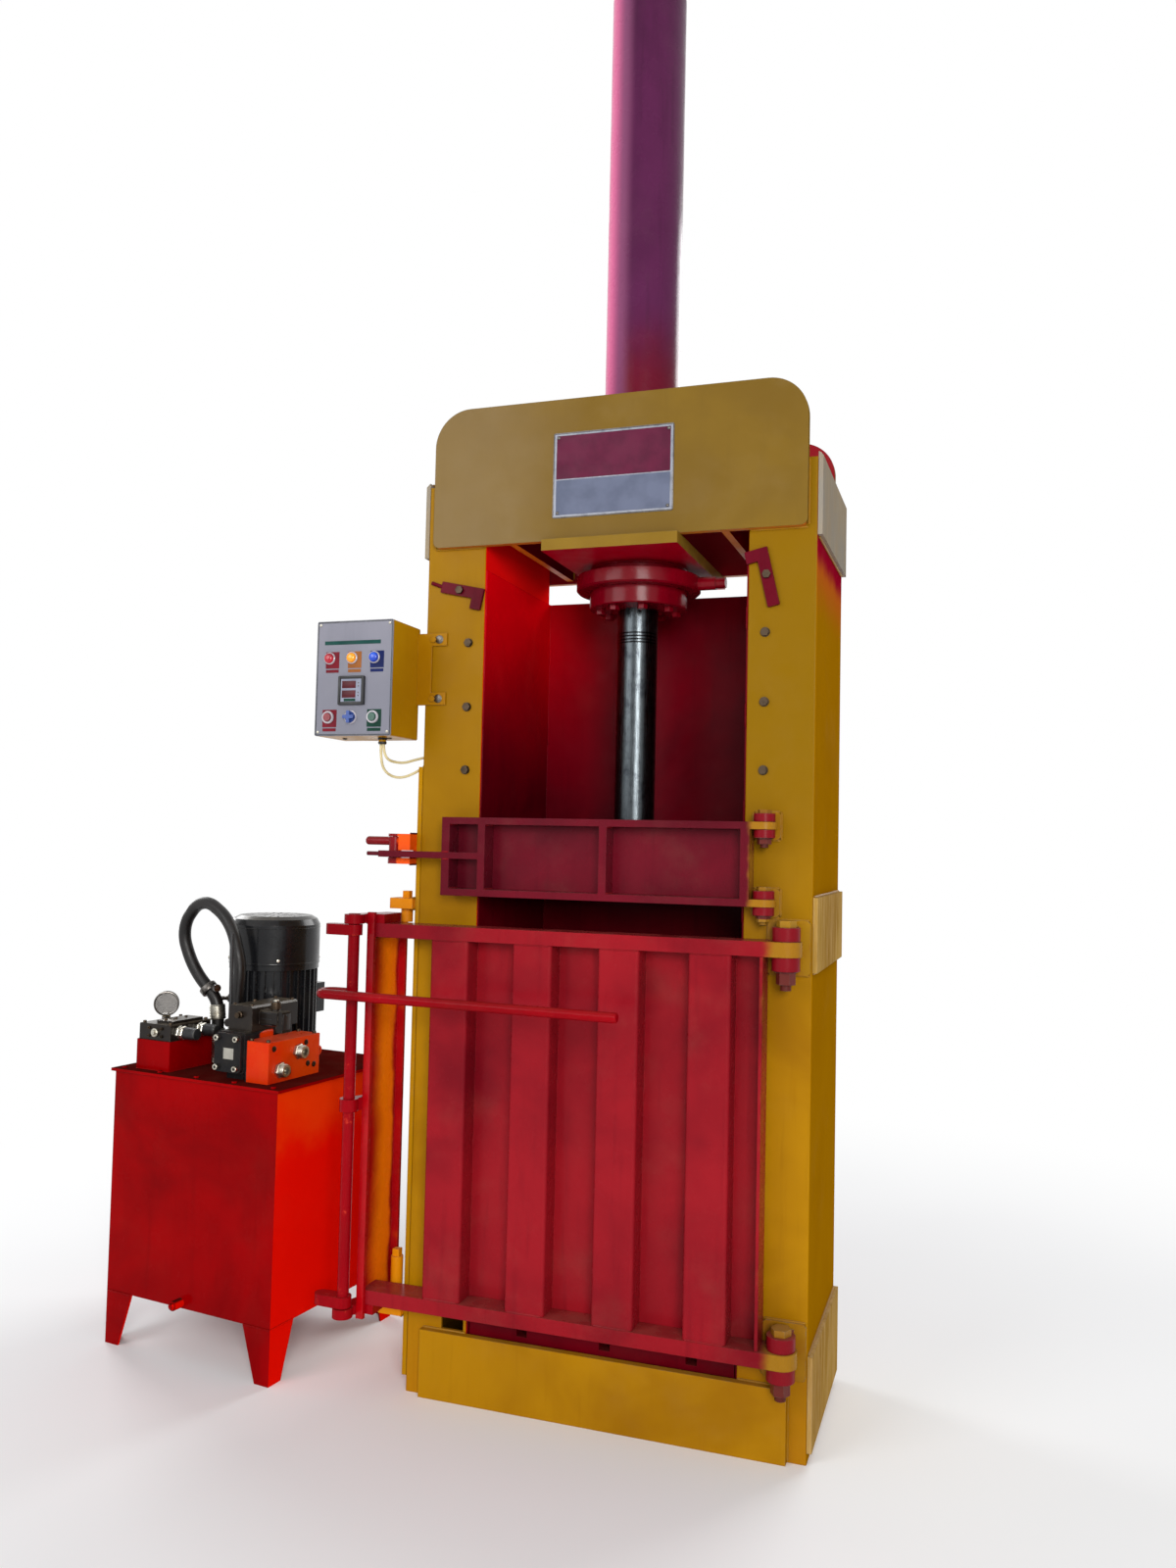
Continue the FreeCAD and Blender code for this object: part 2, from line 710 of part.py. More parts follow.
def catch(pivot, tail, turn, hand):
    """L-shaped flat bar that swings on a column bolt; hand 1 is the left one, -1 its mirror image."""
    x, z = pivot
    half = CATCH_W / 2.0
    y = (-COLUMN_HALF_DEPTH - FACE_GAP - CATCH_T, -COLUMN_HALF_DEPTH - FACE_GAP)

    def across(a, b):
        return tuple(sorted((x + hand * a, x + hand * b)))

    long_leg = block(across(-tail, CATCH_TO_CORNER + half), y, (z - half, z + half))
    short_leg = block(across(CATCH_TO_CORNER - half, CATCH_TO_CORNER + half), y,
                      (z + half - CATCH_SHORT, z + half))
    shape = fuse([long_leg, short_leg])
    shape = round_along(shape, V(0, 1, 0), 3.0,
                        lambda e: hand * (e.CenterOfMass.x - x) < 1.0 - tail
                        or e.CenterOfMass.z < z - half - 1.0)
    shape = shape.cut(rod((x, y[0] - 1.0, z), (x, y[1] + 1.0, z), CATCH_BOLT_R + RUNNING_FIT))
    if hand > 0:
        middle = (y[0] + y[1]) / 2.0
        start = x - tail
        handle = rod((start + 6.0, middle, z), (start - CATCH_ROD_L, middle, z + 6.0), CATCH_ROD_R)
        shape = fuse([shape, handle])
    shape.rotate(V(x, 0, z), V(0, 1, 0), turn)
    return shape


def catch_bolts():
    """The two pivot bolts of the catches."""
    face = -COLUMN_HALF_DEPTH
    inside = face + COLUMN_WALL
    front = face - 2.0 * FACE_GAP - CATCH_T
    bolts = []
    for x, z in (CATCH_LEFT, CATCH_RIGHT):
        head = hexagon_y(x, z, front - CATCH_BOLT_HEAD, front, CATCH_BOLT_AF)
        shank = rod((x, front, z), (x, inside, z), CATCH_BOLT_R)
        bolts.append(fuse([head, shank]))
    return bolts


def name_plate():
    """Bare metal plate with rounded corners on the head."""
    face = -COLUMN_HALF_DEPTH - HEAD_PLATE_T
    x = (NAME_PLATE_X - NAME_PLATE_HALF_W, NAME_PLATE_X + NAME_PLATE_HALF_W)
    plate = block(x, (face - NAME_PLATE_T, face), NAME_PLATE_Z)
    return round_along(plate, V(0, 1, 0), 6.0)


# ---------------------------------------------------------------- hinges
def hinge_bracket(x, y, z0, z1, bush_r, bush_h, pin_r, pad_half, pad_h, pad_t):
    """Pad welded on the column with a bush above and a bush below the door's lug."""
    face = -COLUMN_HALF_DEPTH
    middle = (z0 + z1) / 2.0
    pad = block((x - pad_half, x + pad_half), (face - pad_t, face),
                (middle - pad_h / 2.0, middle + pad_h / 2.0))
    pad = pad.makeChamfer(8.0, edges_along(pad, V(0, 1, 0)))
    pieces = [pad]
    for low, high in ((z0 - FACE_GAP - bush_h, z0 - FACE_GAP), (z1 + FACE_GAP, z1 + FACE_GAP + bush_h)):
        bush = upright(x, y, low, high, bush_r)
        neck = block((x - 0.7 * bush_r, x + 0.7 * bush_r), (y, face - pad_t), (low, high))
        pieces += [bush, neck]
    bracket = fuse(pieces)
    bore = upright(x, y, middle - pad_h, middle + pad_h, pin_r)
    return bracket.cut(bore)


def hinge_pin(x, y, z0, z1, bush_h, pin_r, head_af, head_h, nut_af, nut_h, tip):
    """Hinge bolt with its head on the upper bush and its nut under the lower one."""
    top = z1 + FACE_GAP + bush_h
    bottom = z0 - FACE_GAP - bush_h
    head = hexagon(x, y, top, top + head_h, head_af)
    shank = upright(x, y, bottom - nut_h - tip, top, pin_r)
    nut = hexagon(x, y, bottom - nut_h, bottom, nut_af)
    return fuse([head, shank, nut])


def hinge_sets():
    """Brackets and pins of both doors."""
    brackets = []
    pins = []
    for z in (BOTTOM_BAR_Z, TOP_BAR_Z):
        brackets.append(hinge_bracket(BALE_HINGE_X, BALE_HINGE_Y, z, z + BAR_T, BALE_BUSH_R, BALE_BUSH_H,
                                      BALE_PIN_R, BALE_PAD_HALF_W, BALE_PAD_H, BALE_PAD_T))
        pins.append(hinge_pin(BALE_HINGE_X, BALE_HINGE_Y, z, z + BAR_T, BALE_BUSH_H, BALE_PIN_R,
                              BALE_HEAD_AF, BALE_HEAD_H, BALE_NUT_AF, BALE_NUT_H, BALE_TIP))
    for z in (FEED_BOTTOM_Z, FEED_TOP_Z):
        brackets.append(hinge_bracket(FEED_HINGE_X, FEED_HINGE_Y, z, z + FEED_BAR_T,
                                      FEED_BUSH_R, FEED_BUSH_H, FEED_PIN_R,
                                      FEED_PAD_HALF_W, FEED_PAD_H, FEED_PAD_T))
        pins.append(hinge_pin(FEED_HINGE_X, FEED_HINGE_Y, z, z + FEED_BAR_T, FEED_BUSH_H, FEED_PIN_R,
                              FEED_HEAD_AF, FEED_HEAD_H, FEED_NUT_AF, FEED_NUT_H, FEED_TIP))
    return group(brackets), group(pins)


def lug_bar(left, hinge_x, hinge_y, half_depth, z0, thickness, pin_r):
    """Flat door bar whose right end is a round lug on the hinge pin."""
    bar = block((left, hinge_x), (hinge_y - half_depth, hinge_y + half_depth), (z0, z0 + thickness))
    lug = upright(hinge_x, hinge_y, z0, z0 + thickness, half_depth)
    bore = upright(hinge_x, hinge_y, z0 - 1.0, z0 + thickness + 1.0, pin_r + RUNNING_FIT)
    return fuse([bar, lug]).cut(bore)


# ---------------------------------------------------------------- bale door
def bale_bars():
    """Top and bottom flat bars of the bale door, from the end channel to the hinge lugs."""
    left = CHANNEL_LEFT + CHANNEL_WEB_T
    return group([lug_bar(left, BALE_HINGE_X, BALE_HINGE_Y, BAR_HALF_DEPTH, z, BAR_T, BALE_PIN_R)
                  for z in (BOTTOM_BAR_Z, TOP_BAR_Z)])


def bale_panel():
    """Sheet with four hollow upright ribs and a right stile, between the two bars."""
    z = (BOTTOM_BAR_Z + BAR_T, TOP_BAR_Z)
    back = BALE_HINGE_Y + BAR_HALF_DEPTH - PANEL_BACK_GAP
    front = BALE_HINGE_Y - BAR_HALF_DEPTH + RIB_SETBACK
    sheet_y = (back - PANEL_SHEET_T, back)
    pieces = [block((PANEL_LEFT, PANEL_RIGHT), sheet_y, z),
              block((PANEL_RIGHT - STILE_T, PANEL_RIGHT), (front, back), z)]
    for i in range(RIB_COUNT):
        left = PANEL_LEFT + i * RIB_PITCH
        outer = block((left, left + RIB_WIDTH), (front, sheet_y[0]), z)
        outer = round_along(outer, V(0, 0, 1), RIB_CORNER_R, lambda e: e.CenterOfMass.y < front + 1.0)
        wall = PANEL_SHEET_T
        inner = block((left + wall, left + RIB_WIDTH - wall), (front + wall, sheet_y[0]), z)
        inner = round_along(inner, V(0, 0, 1), RIB_CORNER_R - wall,
                            lambda e: e.CenterOfMass.y < front + wall + 1.0)
        pieces.append(outer.cut(inner))
    return fuse(pieces)


def end_channel():
    """Upright channel that closes the bale door's left end, open to the column."""
    web_x = (CHANNEL_LEFT, CHANNEL_LEFT + CHANNEL_WEB_T)
    front = BALE_HINGE_Y - BAR_HALF_DEPTH
    web = block(web_x, (front, CHANNEL_BACK), (BOTTOM_BAR_Z, TOP_BAR_Z + BAR_T))
    strip = block((CHANNEL_LEFT, CHANNEL_LEFT + CHANNEL_STRIP_W), (front - CHANNEL_STRIP_T, front), STRIP_Z)
    flange = block((CHANNEL_LEFT, CHANNEL_LEFT + CHANNEL_BACK_W),
                   (CHANNEL_BACK - CHANNEL_WEB_T, CHANNEL_BACK), (BOTTOM_BAR_Z, TOP_BAR_Z + BAR_T))
    return fuse([web, strip, flange])


def lock_arm(z0):
    """Flat arm that carries the lock shaft and ends in a seat at the column's keeper."""
    right = KEEPER_X - KEEPER_BARREL_R + 3.0
    front = BALE_HINGE_Y - BAR_HALF_DEPTH
    outline = [(LOCK_X, LOCK_Y - LOCK_EYE_R),
               (CHANNEL_LEFT - 0.5, front - CHANNEL_STRIP_T),
               (CHANNEL_LEFT - 0.5, front),
               (right, front),
               (right, KEEPER_Y),
               (CHANNEL_LEFT - 4.0, KEEPER_Y),
               (LOCK_X - LOCK_EYE_R, LOCK_Y)]
    z1 = z0 + LOCK_ARM_T
    arm = fuse([prism(outline, z0, z1), upright(LOCK_X, LOCK_Y, z0, z1, LOCK_EYE_R)])
    arm = arm.cut(upright(LOCK_X, LOCK_Y, z0 - 1.0, z1 + 1.0, LOCK_SHAFT_R + RUNNING_FIT))
    return arm.cut(upright(KEEPER_X, KEEPER_Y, z0 - 1.0, z1 + 1.0, KEEPER_BARREL_R + KEEPER_SEAT_GAP))


def lock_arms():
    """Top and bottom arms and the middle guide of the lock shaft."""
    z0, z1 = LOCK_GUIDE_Z, LOCK_GUIDE_Z + LOCK_GUIDE_T
    front = BALE_HINGE_Y - BAR_HALF_DEPTH
    plate = prism([(LOCK_X, LOCK_Y - CLAW_HUB_R), (CHANNEL_LEFT, front - CHANNEL_STRIP_T),
                   (CHANNEL_LEFT, front + 30.0), (LOCK_X - CLAW_HUB_R, LOCK_Y)], z0, z1)
    guide = fuse([plate, upright(LOCK_X, LOCK_Y, z0, z1, CLAW_HUB_R + 2.0)])
    guide = guide.cut(upright(LOCK_X, LOCK_Y, z0 - 1.0, z1 + 1.0, LOCK_SHAFT_R + RUNNING_FIT))
    return group([lock_arm(BOTTOM_BAR_Z - LOCK_ARM_T), guide, lock_arm(TOP_BAR_Z + BAR_T)])


def lock_shaft():
    """Round lock shaft with a thick cam claw beside each arm, welded as one piece."""
    bottom = BOTTOM_BAR_Z - LOCK_ARM_T - 2.0
    top = TOP_BAR_Z + BAR_T + LOCK_ARM_T + 2.0
    pieces = [upright(LOCK_X, LOCK_Y, bottom, top, LOCK_SHAFT_R)]
    nose = (LOCK_X - CLAW_REACH, LOCK_Y)
    for z in (BOTTOM_BAR_Z + CLAW_GAP, TOP_BAR_Z + BAR_T - CLAW_GAP - CLAW_T):
        claw = hull_plate((LOCK_X, LOCK_Y), CLAW_HUB_R, nose, CLAW_NOSE_R, z, z + CLAW_T)
        pieces.append(claw)
    return fuse(pieces)


def lock_handle():
    """Round handle bent back on itself, welded to the shaft and lying across the door."""
    back_y = LOCK_Y
    z = HANDLE_Z
    start = V(LOCK_X - LOCK_SHAFT_R + 3.0, back_y, z)
    turn_in = V(HANDLE_BEND_X, back_y, z)
    lean = math.radians(HANDLE_LEAN)
    centre = V(HANDLE_BEND_X, back_y - HANDLE_BEND_R, z)
    turn_out = centre + V(-math.sin(lean), -math.cos(lean), 0) * HANDLE_BEND_R
    length = (HANDLE_END_X - turn_out.x) / math.cos(lean)
    end = turn_out + V(math.cos(lean), -math.sin(lean), 0) * length
    bend = disc(turn_in, V(-1, 0, 0), HANDLE_R).revolve(centre, V(0, 0, 1), 180.0 - HANDLE_LEAN)
    bar = fuse([rod(start, turn_in, HANDLE_R), bend, rod(turn_out, end, HANDLE_R)])
    rim = [e for e in bar.Edges if e.CenterOfMass.distanceToPoint(end) < 1.0]
    bar = bar.makeChamfer(3.0, rim)
    return bar.cut(upright(LOCK_X, LOCK_Y, z - 50.0, z + 50.0, LOCK_SHAFT_R))


def lock_keepers():
    """Lug, barrel and square-headed pin on the left column, at each lock arm."""
    keepers = []
    side = -COLUMN_OUTER - SIDE_PLATE_T
    y = (KEEPER_Y - KEEPER_LUG_DEPTH / 2.0, KEEPER_Y + KEEPER_LUG_DEPTH / 2.0)
    arm_top = TOP_BAR_Z + BAR_T + LOCK_ARM_T
    arm_bottom = BOTTOM_BAR_Z - LOCK_ARM_T
    upper = (arm_top + KEEPER_LUG_GAP, arm_top + KEEPER_LUG_GAP + KEEPER_LUG_T)
    lower = (arm_bottom - 3.0 - KEEPER_LUG_T / 1.4, arm_bottom - 3.0)
    levels = ((upper, (TOP_BAR_Z + BAR_T, upper[0]), upper[1]),
              (lower, (lower[1], lower[1] + KEEPER_LOW_BARREL_H), lower[1] + KEEPER_LOW_BARREL_H))
    for lug_z, barrel_z, head_z in levels:
        lug = block((side - KEEPER_LUG_REACH, side), y, lug_z)
        lug = round_along(lug, V(0, 0, 1), 8.0, lambda e: e.CenterOfMass.x < side - KEEPER_LUG_REACH + 1.0)
        barrel = upright(KEEPER_X, KEEPER_Y, barrel_z[0], barrel_z[1], KEEPER_BARREL_R)
        half = KEEPER_HEAD / 2.0
        head = block((KEEPER_X - half, KEEPER_X + half), (KEEPER_Y - half, KEEPER_Y + half),
                     (head_z, head_z + KEEPER_HEAD))
        keepers.append(fuse([lug, barrel, head]))
    return group(keepers)


# ---------------------------------------------------------------- feed door
def feed_frame():
    """Welded frame of the feed door with its hinge lugs and the long latch arm."""
    y = (FEED_HINGE_Y - FEED_HALF_DEPTH, FEED_HINGE_Y + FEED_HALF_DEPTH)
    back = y[1] - FEED_SHEET_T
    inner_y = (y[0], back)
    pieces = [lug_bar(FEED_LEFT, FEED_HINGE_X, FEED_HINGE_Y, FEED_HALF_DEPTH, z, FEED_BAR_T, FEED_PIN_R)
              for z in (FEED_BOTTOM_Z, FEED_TOP_Z)]
    z = (FEED_BOTTOM_Z + FEED_BAR_T, FEED_TOP_Z)
    pieces.append(block((FEED_LEFT, FEED_LEFT + FEED_STILE_W), inner_y, z))
    pieces.append(block((FEED_RIGHT - FEED_STILE_W, FEED_RIGHT), inner_y, z))
    for x in FEED_UPRIGHTS:
        pieces.append(block((x, x + FEED_UPRIGHT_W), inner_y, z))
    arm_y = (y[0], y[0] + FEED_ARM_DEPTH)
    pieces.append(block((FEED_ARM_END, FEED_UPRIGHTS[0]), arm_y, FEED_ARM_Z))
    tip_y = (arm_y[0] + arm_y[1]) / 2.0
    tip_z = (FEED_ARM_Z[0] + FEED_ARM_Z[1]) / 2.0
    pieces.append(rod((FEED_ARM_END + 2.0, tip_y, tip_z), (FEED_TIP_END, tip_y, tip_z), FEED_TIP_R))
    return fuse(pieces)


def feed_sheet():
    """Sheet that closes the back of the feed door's frame."""
    back = FEED_HINGE_Y + FEED_HALF_DEPTH
    return block((FEED_LEFT, FEED_RIGHT), (back - FEED_SHEET_T, back),
                 (FEED_BOTTOM_Z + FEED_BAR_T, FEED_TOP_Z))


def latch_bracket():
    """Two lugs and a cheek on the left column that carry the latch's upright pin."""
    side = -COLUMN_OUTER - SIDE_PLATE_T
    y = (LATCH_Y - LATCH_NOSE_R, LATCH_Y + LATCH_PLATE_DEPTH / 2.0)
    top = LATCH_UPPER_Z + LATCH_UPPER_T
    lugs = []
    for z0, z1 in ((LATCH_LOWER_Z, LATCH_LOWER_Z + LATCH_LOWER_T), (LATCH_UPPER_Z, top)):
        plate = block((LATCH_X, side), y, (z0, z1))
        nose = upright(LATCH_X, LATCH_Y, z0, z1, LATCH_NOSE_R)
        lugs.append(fuse([plate, nose]))
    cheek_x = LATCH_X + LATCH_BARREL_R + LATCH_CHEEK_GAP
    cheek = block((cheek_x, side), y, (LATCH_CHEEK_Z, LATCH_UPPER_Z))
    back = block((side - 10.0, side), (y[1] - 14.0, y[1]), (LATCH_LOWER_Z, top))
    pin = upright(LATCH_X, LATCH_Y, LATCH_LOWER_Z, top, LATCH_PIN_R)
    return fuse(lugs + [cheek, back, pin])


def latch_hook():
    """Turning barrel with a stout round-ended handle that swings over the feed door's arm."""
    z0 = LATCH_LOWER_Z + LATCH_LOWER_T + FACE_GAP
    z1 = LATCH_UPPER_Z - FACE_GAP
    barrel = upright(LATCH_X, LATCH_Y, z0, z1, LATCH_BARREL_R)
    end = LATCH_X - LATCH_REACH
    handle = rod((LATCH_X, LATCH_Y, LATCH_ROD_Z), (end, LATCH_Y, LATCH_ROD_Z), LATCH_ROD_R)
    handle = handle.makeFillet(LATCH_END_R, [e for e in handle.Edges if e.CenterOfMass.x < end + 1.0])
    shape = fuse([barrel, handle])
    return shape.cut(upright(LATCH_X, LATCH_Y, z0 - 1.0, z1 + 1.0, LATCH_PIN_R + RUNNING_FIT))


# ---------------------------------------------------------------- cylinder and ram
def flange_levels():
    """Heights of the neck, the flange and the gland under the mount plate."""
    plate = HEAD_BOTTOM - MOUNT_PLATE_T
    flange_top = plate - FLANGE_NECK_H
    flange_bottom = flange_top - FLANGE_T
    return plate, flange_top, flange_bottom, flange_bottom - GLAND_DROP


def cylinder_tube():
    """Long cylinder tube, closed and rounded at its top."""
    _, flange_top, _, _ = flange_levels()
    shape = upright(0.0, 0.0, flange_top, TUBE_TOP, TUBE_R)
    rim = [e for e in shape.Edges
           if e.Curve.TypeId == "Part::GeomCircle" and e.CenterOfMass.z > TUBE_TOP - 1.0]
    shape = shape.makeChamfer(TUBE_SHOULDER, rim)
    return shape.cut(upright(0.0, 0.0, flange_top - 1.0, TUBE_TOP - TUBE_CAP_T, TUBE_BORE_R))


def cylinder_flange():
    """Turned mounting flange with its neck and the oil port stub on the right."""
    plate, flange_top, flange_bottom, _ = flange_levels()
    bore = GLAND_NOSE_R + NOSE_FIT
    profile = [(bore, flange_bottom), (FLANGE_R - FLANGE_EDGE, flange_bottom),
               (FLANGE_R, flange_bottom + FLANGE_EDGE), (FLANGE_R, flange_top), (FLANGE_NECK_R, flange_top),
               (FLANGE_NECK_R, plate), (TUBE_R, plate), (TUBE_R, flange_top), (bore, flange_top)]
    shape = revolve(profile)
    z = (flange_top + flange_bottom) / 2.0
    cap_x = PORT_REACH - PORT_CAP_L
    stub = rod((FLANGE_R - 20.0, 0.0, z), (cap_x, 0.0, z), PORT_R)
    cap = rod((cap_x, 0.0, z), (PORT_REACH, 0.0, z), PORT_R * 0.8)
    return fuse([shape, stub, cap])


def rod_gland():
    """Gland with its nose inside the tube, bored for the rod."""
    _, flange_top, flange_bottom, bottom = flange_levels()
    bore = ROD_R + SLIDE_FIT
    profile = [(bore, bottom), (GLAND_R - 3.0, bottom), (GLAND_R, bottom + 3.0), (GLAND_R, flange_bottom),
               (GLAND_NOSE_R, flange_bottom), (GLAND_NOSE_R, flange_top + GLAND_NOSE_H),
               (bore, flange_top + GLAND_NOSE_H)]
    return revolve(profile)


def gland_bolts():
    """Ring of hex bolt heads that hold the gland to the flange."""
    bottom = flange_levels()[3]
    bolts = []
    for i in range(GLAND_BOLT_COUNT):
        a = 2.0 * math.pi * (i + 0.5) / GLAND_BOLT_COUNT
        x, y = GLAND_BOLT_PCD_R * math.cos(a), GLAND_BOLT_PCD_R * math.sin(a)
        bolts.append(hexagon(x, y, bottom - GLAND_BOLT_HEAD, bottom, GLAND_BOLT_AF))
    return group(bolts)


def platen_top():
    """Upper face of the platen's main plate."""
    return PLATEN_BOTTOM + PLATEN_PAD_H + PLATEN_PLATE_T


def ram_rod():
    """Chromed rod from the platen boss to the piston, with a spigot at each end."""
    bottom = platen_top()
    shape = upright(0.0, 0.0, bottom, PISTON_Z, ROD_R)
    spigot = upright(0.0, 0.0, PISTON_Z, PISTON_Z + PISTON_H + 12.0, ROD_SPIGOT_R)
    return fuse([shape, spigot])


def ram_piston():
    """Piston with its seal groove, held on the rod's spigot."""
    outer = TUBE_BORE_R - SLIDE_FIT
    groove = outer - PISTON_GROOVE_DEPTH
    z = PISTON_Z
    profile = [(ROD_SPIGOT_R, z), (outer, z)]
    low = z + (PISTON_H - PISTON_GROOVE_H) / 2.0
    profile += [(outer, low), (groove, low), (groove, low + PISTON_GROOVE_H), (outer, low + PISTON_GROOVE_H)]
    profile += [(outer, z + PISTON_H), (ROD_SPIGOT_R, z + PISTON_H)]
    return revolve(profile)


def ram_platen():
    """Pressing platen: padded face with strap grooves, main plate, ribs and rod boss."""
    half = COLUMN_INNER - LINER_T - PLATEN_SIDE_GAP
    depth = COLUMN_HALF_DEPTH - PLATEN_SIDE_GAP
    x, y = (-half, half), (-depth, depth)
    pad_top = PLATEN_BOTTOM + PLATEN_PAD_H
    top = platen_top()
    face = block(x, y, (PLATEN_BOTTOM, pad_top))
    for slot in strap_slots((y[0] - 1.0, y[1] + 1.0), (PLATEN_BOTTOM - 1.0, pad_top)):
        face = face.cut(slot)
    pieces = [face, block(x, y, (pad_top, top))]
    rib = PLATEN_RIB_T / 2.0
    for spot in (-0.55, 0.55):
        pieces.append(block((spot * half - rib, spot * half + rib), y, (top, top + PLATEN_RIB_H)))
    pieces.append(block(x, (-rib, rib), (top, top + PLATEN_RIB_H)))
    pieces.append(upright(0.0, 0.0, top, top + PLATEN_RIB_H + 20.0, PLATEN_BOSS_R))
    return fuse(pieces).cut(upright(0.0, 0.0, top, top + PLATEN_RIB_H + 21.0, ROD_R))


# ---------------------------------------------------------------- control box
def control_box():
    """Sheet-steel box, open to the front under its panel, with a cable gland below."""
    shell = block(BOX_X, BOX_Y, BOX_Z)
    shell = round_along(shell, V(0, 1, 0), BOX_CORNER_R)
    wall = BOX_WALL
    inner = block((BOX_X[0] + wall, BOX_X[1] - wall), (BOX_Y[0] - 1.0, BOX_Y[1] - wall),
                  (BOX_Z[0] + wall, BOX_Z[1] - wall))
    shell = shell.cut(round_along(inner, V(0, 1, 0), BOX_CORNER_R - wall))
    x, y = CABLE_GLAND
    gland = upright(x, y, BOX_Z[0] - CABLE_GLAND_H, BOX_Z[0] + wall, CABLE_GLAND_R)
    return fuse([shell, gland])


def panel_holes():
    """Round cut-outs of the panel as (x, z, radius)."""
    buttons = [(x, BUTTON_Z, BUTTON_SLEEVE_R) for x in (LAMP_X[0], LAMP_X[2])]
    return buttons + [(LAMP_X[1], BUTTON_Z, KNOB_SHANK_R + RUNNING_FIT)]


def control_panel():
    """Front panel of the control box with its cut-outs and button sleeves."""
    y = (BOX_Y[0] - PANEL_T, BOX_Y[0])
    panel = round_along(block(BOX_X, y, BOX_Z), V(0, 1, 0), BOX_CORNER_R)
    for x, z, radius in panel_holes():
        panel = panel.cut(rod((x, y[0] - 1.0, z), (x, y[1] + 1.0, z), radius))
    pieces = [panel]
    for x in (LAMP_X[0], LAMP_X[2]):
        ring = rod((x, y[0] - BUTTON_SLEEVE_H, BUTTON_Z), (x, y[1], BUTTON_Z), LAMP_R)
        pieces.append(ring.cut(rod((x, y[0] - BUTTON_SLEEVE_H, BUTTON_Z), (x, y[1], BUTTON_Z),
                                   BUTTON_SLEEVE_R)))
    return fuse(pieces)


def pilot_lamps():
    """Three pilot lamps on the panel, each a bezel with a bevelled lens."""
    face = BOX_Y[0] - PANEL_T
    lamps = []
    for x in LAMP_X:
        bezel = rod((x, face - LAMP_BEZEL_H, LAMP_Z), (x, face, LAMP_Z), LAMP_R)
        lens = Part.makeCone(LAMP_LENS_R, 0.6 * LAMP_LENS_R, LAMP_LENS_H, V(x, face - LAMP_BEZEL_H, LAMP_Z),
                             V(0, -1, 0))
        lamps.append(fuse([bezel, lens]))
    return group(lamps)


def panel_meter():
    """Square bezel of the panel meter with a recessed display field."""
    face = BOX_Y[0] - PANEL_T
    half = METER_W / 2.0
    bezel = block((METER_X - half, METER_X + half), (face - METER_BEZEL, face),
                  (METER_Z - half, METER_Z + half))
    bezel = round_along(bezel, V(0, 1, 0), 3.0)
    inner = half - 6.0
    bezel = bezel.cut(block((METER_X - inner, METER_X + inner), (face - METER_BEZEL - 1.0, face - METER_BEZEL
                            + METER_RECESS), (METER_Z - inner, METER_Z + inner)))
    return bezel


def push_button(x):
    """Round push button that slides in the panel's sleeve."""
    face = BOX_Y[0] - PANEL_T
    front = face - BUTTON_SLEEVE_H - BUTTON_TRAVEL
    body = rod((x, front, BUTTON_Z), (x, BOX_Y[0] + BUTTON_STEM_L, BUTTON_Z), BUTTON_CAP_R)
    rim = [e for e in body.Edges if e.CenterOfMass.y < front + 0.1]
    return body.makeChamfer(1.2, rim)


def selector_knob():
    """Selector with a cross-shaped grip, on a shank through the panel."""
    face = BOX_Y[0] - PANEL_T
    x = LAMP_X[1]
    front = face - KNOB_H
    disc = rod((x, face - 5.0, BUTTON_Z), (x, face - FACE_GAP, BUTTON_Z), KNOB_R)
    grips = []
    for dx, dz in ((KNOB_GRIP_L / 2.0, KNOB_GRIP_W / 2.0), (KNOB_GRIP_W / 2.0, KNOB_GRIP_L / 2.0)):
        grip = block((x - dx, x + dx), (front, face - 4.0), (BUTTON_Z - dz, BUTTON_Z + dz))
        grips.append(round_along(grip, V(0, 1, 0), KNOB_GRIP_W * 0.3))
    shank = rod((x, face - 5.0, BUTTON_Z), (x, BOX_Y[0] + 20.0, BUTTON_Z), KNOB_SHANK_R)
    return fuse([disc, shank] + grips)


def box_bracket():
    """Plate that carries the control box on the left column, with two screwed tabs."""
    face = -COLUMN_HALF_DEPTH
    y = (face - BRACKET_T, face)
    strap = block((BOX_X[1] - 12.0, -COLUMN_OUTER + 20.0), y, BRACKET_Z)
    pieces = [strap]
    for z0 in (BRACKET_Z[0], BRACKET_Z[1] - BRACKET_TAB_H):
        pieces.append(block((-COLUMN_OUTER + 19.0, BRACKET_RIGHT), y, (z0, z0 + BRACKET_TAB_H)))
        middle = z0 + BRACKET_TAB_H / 2.0
        x = -COLUMN_OUTER + 24.0
        pieces.append(hexagon_y(x, middle, y[0] - 5.0, y[0], 2.0 * BRACKET_SCREW_R))
    shape = fuse(pieces)
    box = block(BOX_X, (BOX_Y[0], BOX_Y[1]), BOX_Z)
    return shape.cut(box)


UPPER_CABLE = ((-600.0, -322.0, 1696.0), (-600.0, -322.0, 1656.0), (-572.0, -272.0, 1646.0),
               (-547.0, -236.0, 1660.0), (-526.0, -205.0, 1670.0))
LOWER_CABLE = ((-608.0, -322.0, 1696.0), (-608.0, -322.0, 1652.0), (-603.0, -300.0, 1618.0),
               (-580.0, -262.0, 1606.0), (-547.0, -222.0, 1628.0), (-526.0, -196.0, 1652.0))


def cable_entries():
    """Grommets where the two cables enter the left column's side."""
    return [rod((-COLUMN_OUTER, route[-1][1], route[-1][2]),
                (-COLUMN_OUTER - CABLE_ENTRY_H, route[-1][1], route[-1][2]), CABLE_ENTRY_R)
            for route in (UPPER_CABLE, LOWER_CABLE)]


def cable(route):
    """Control cable from the box's gland to its grommet."""
    return tube(route, CABLE_R).cut(group(cable_entries()))


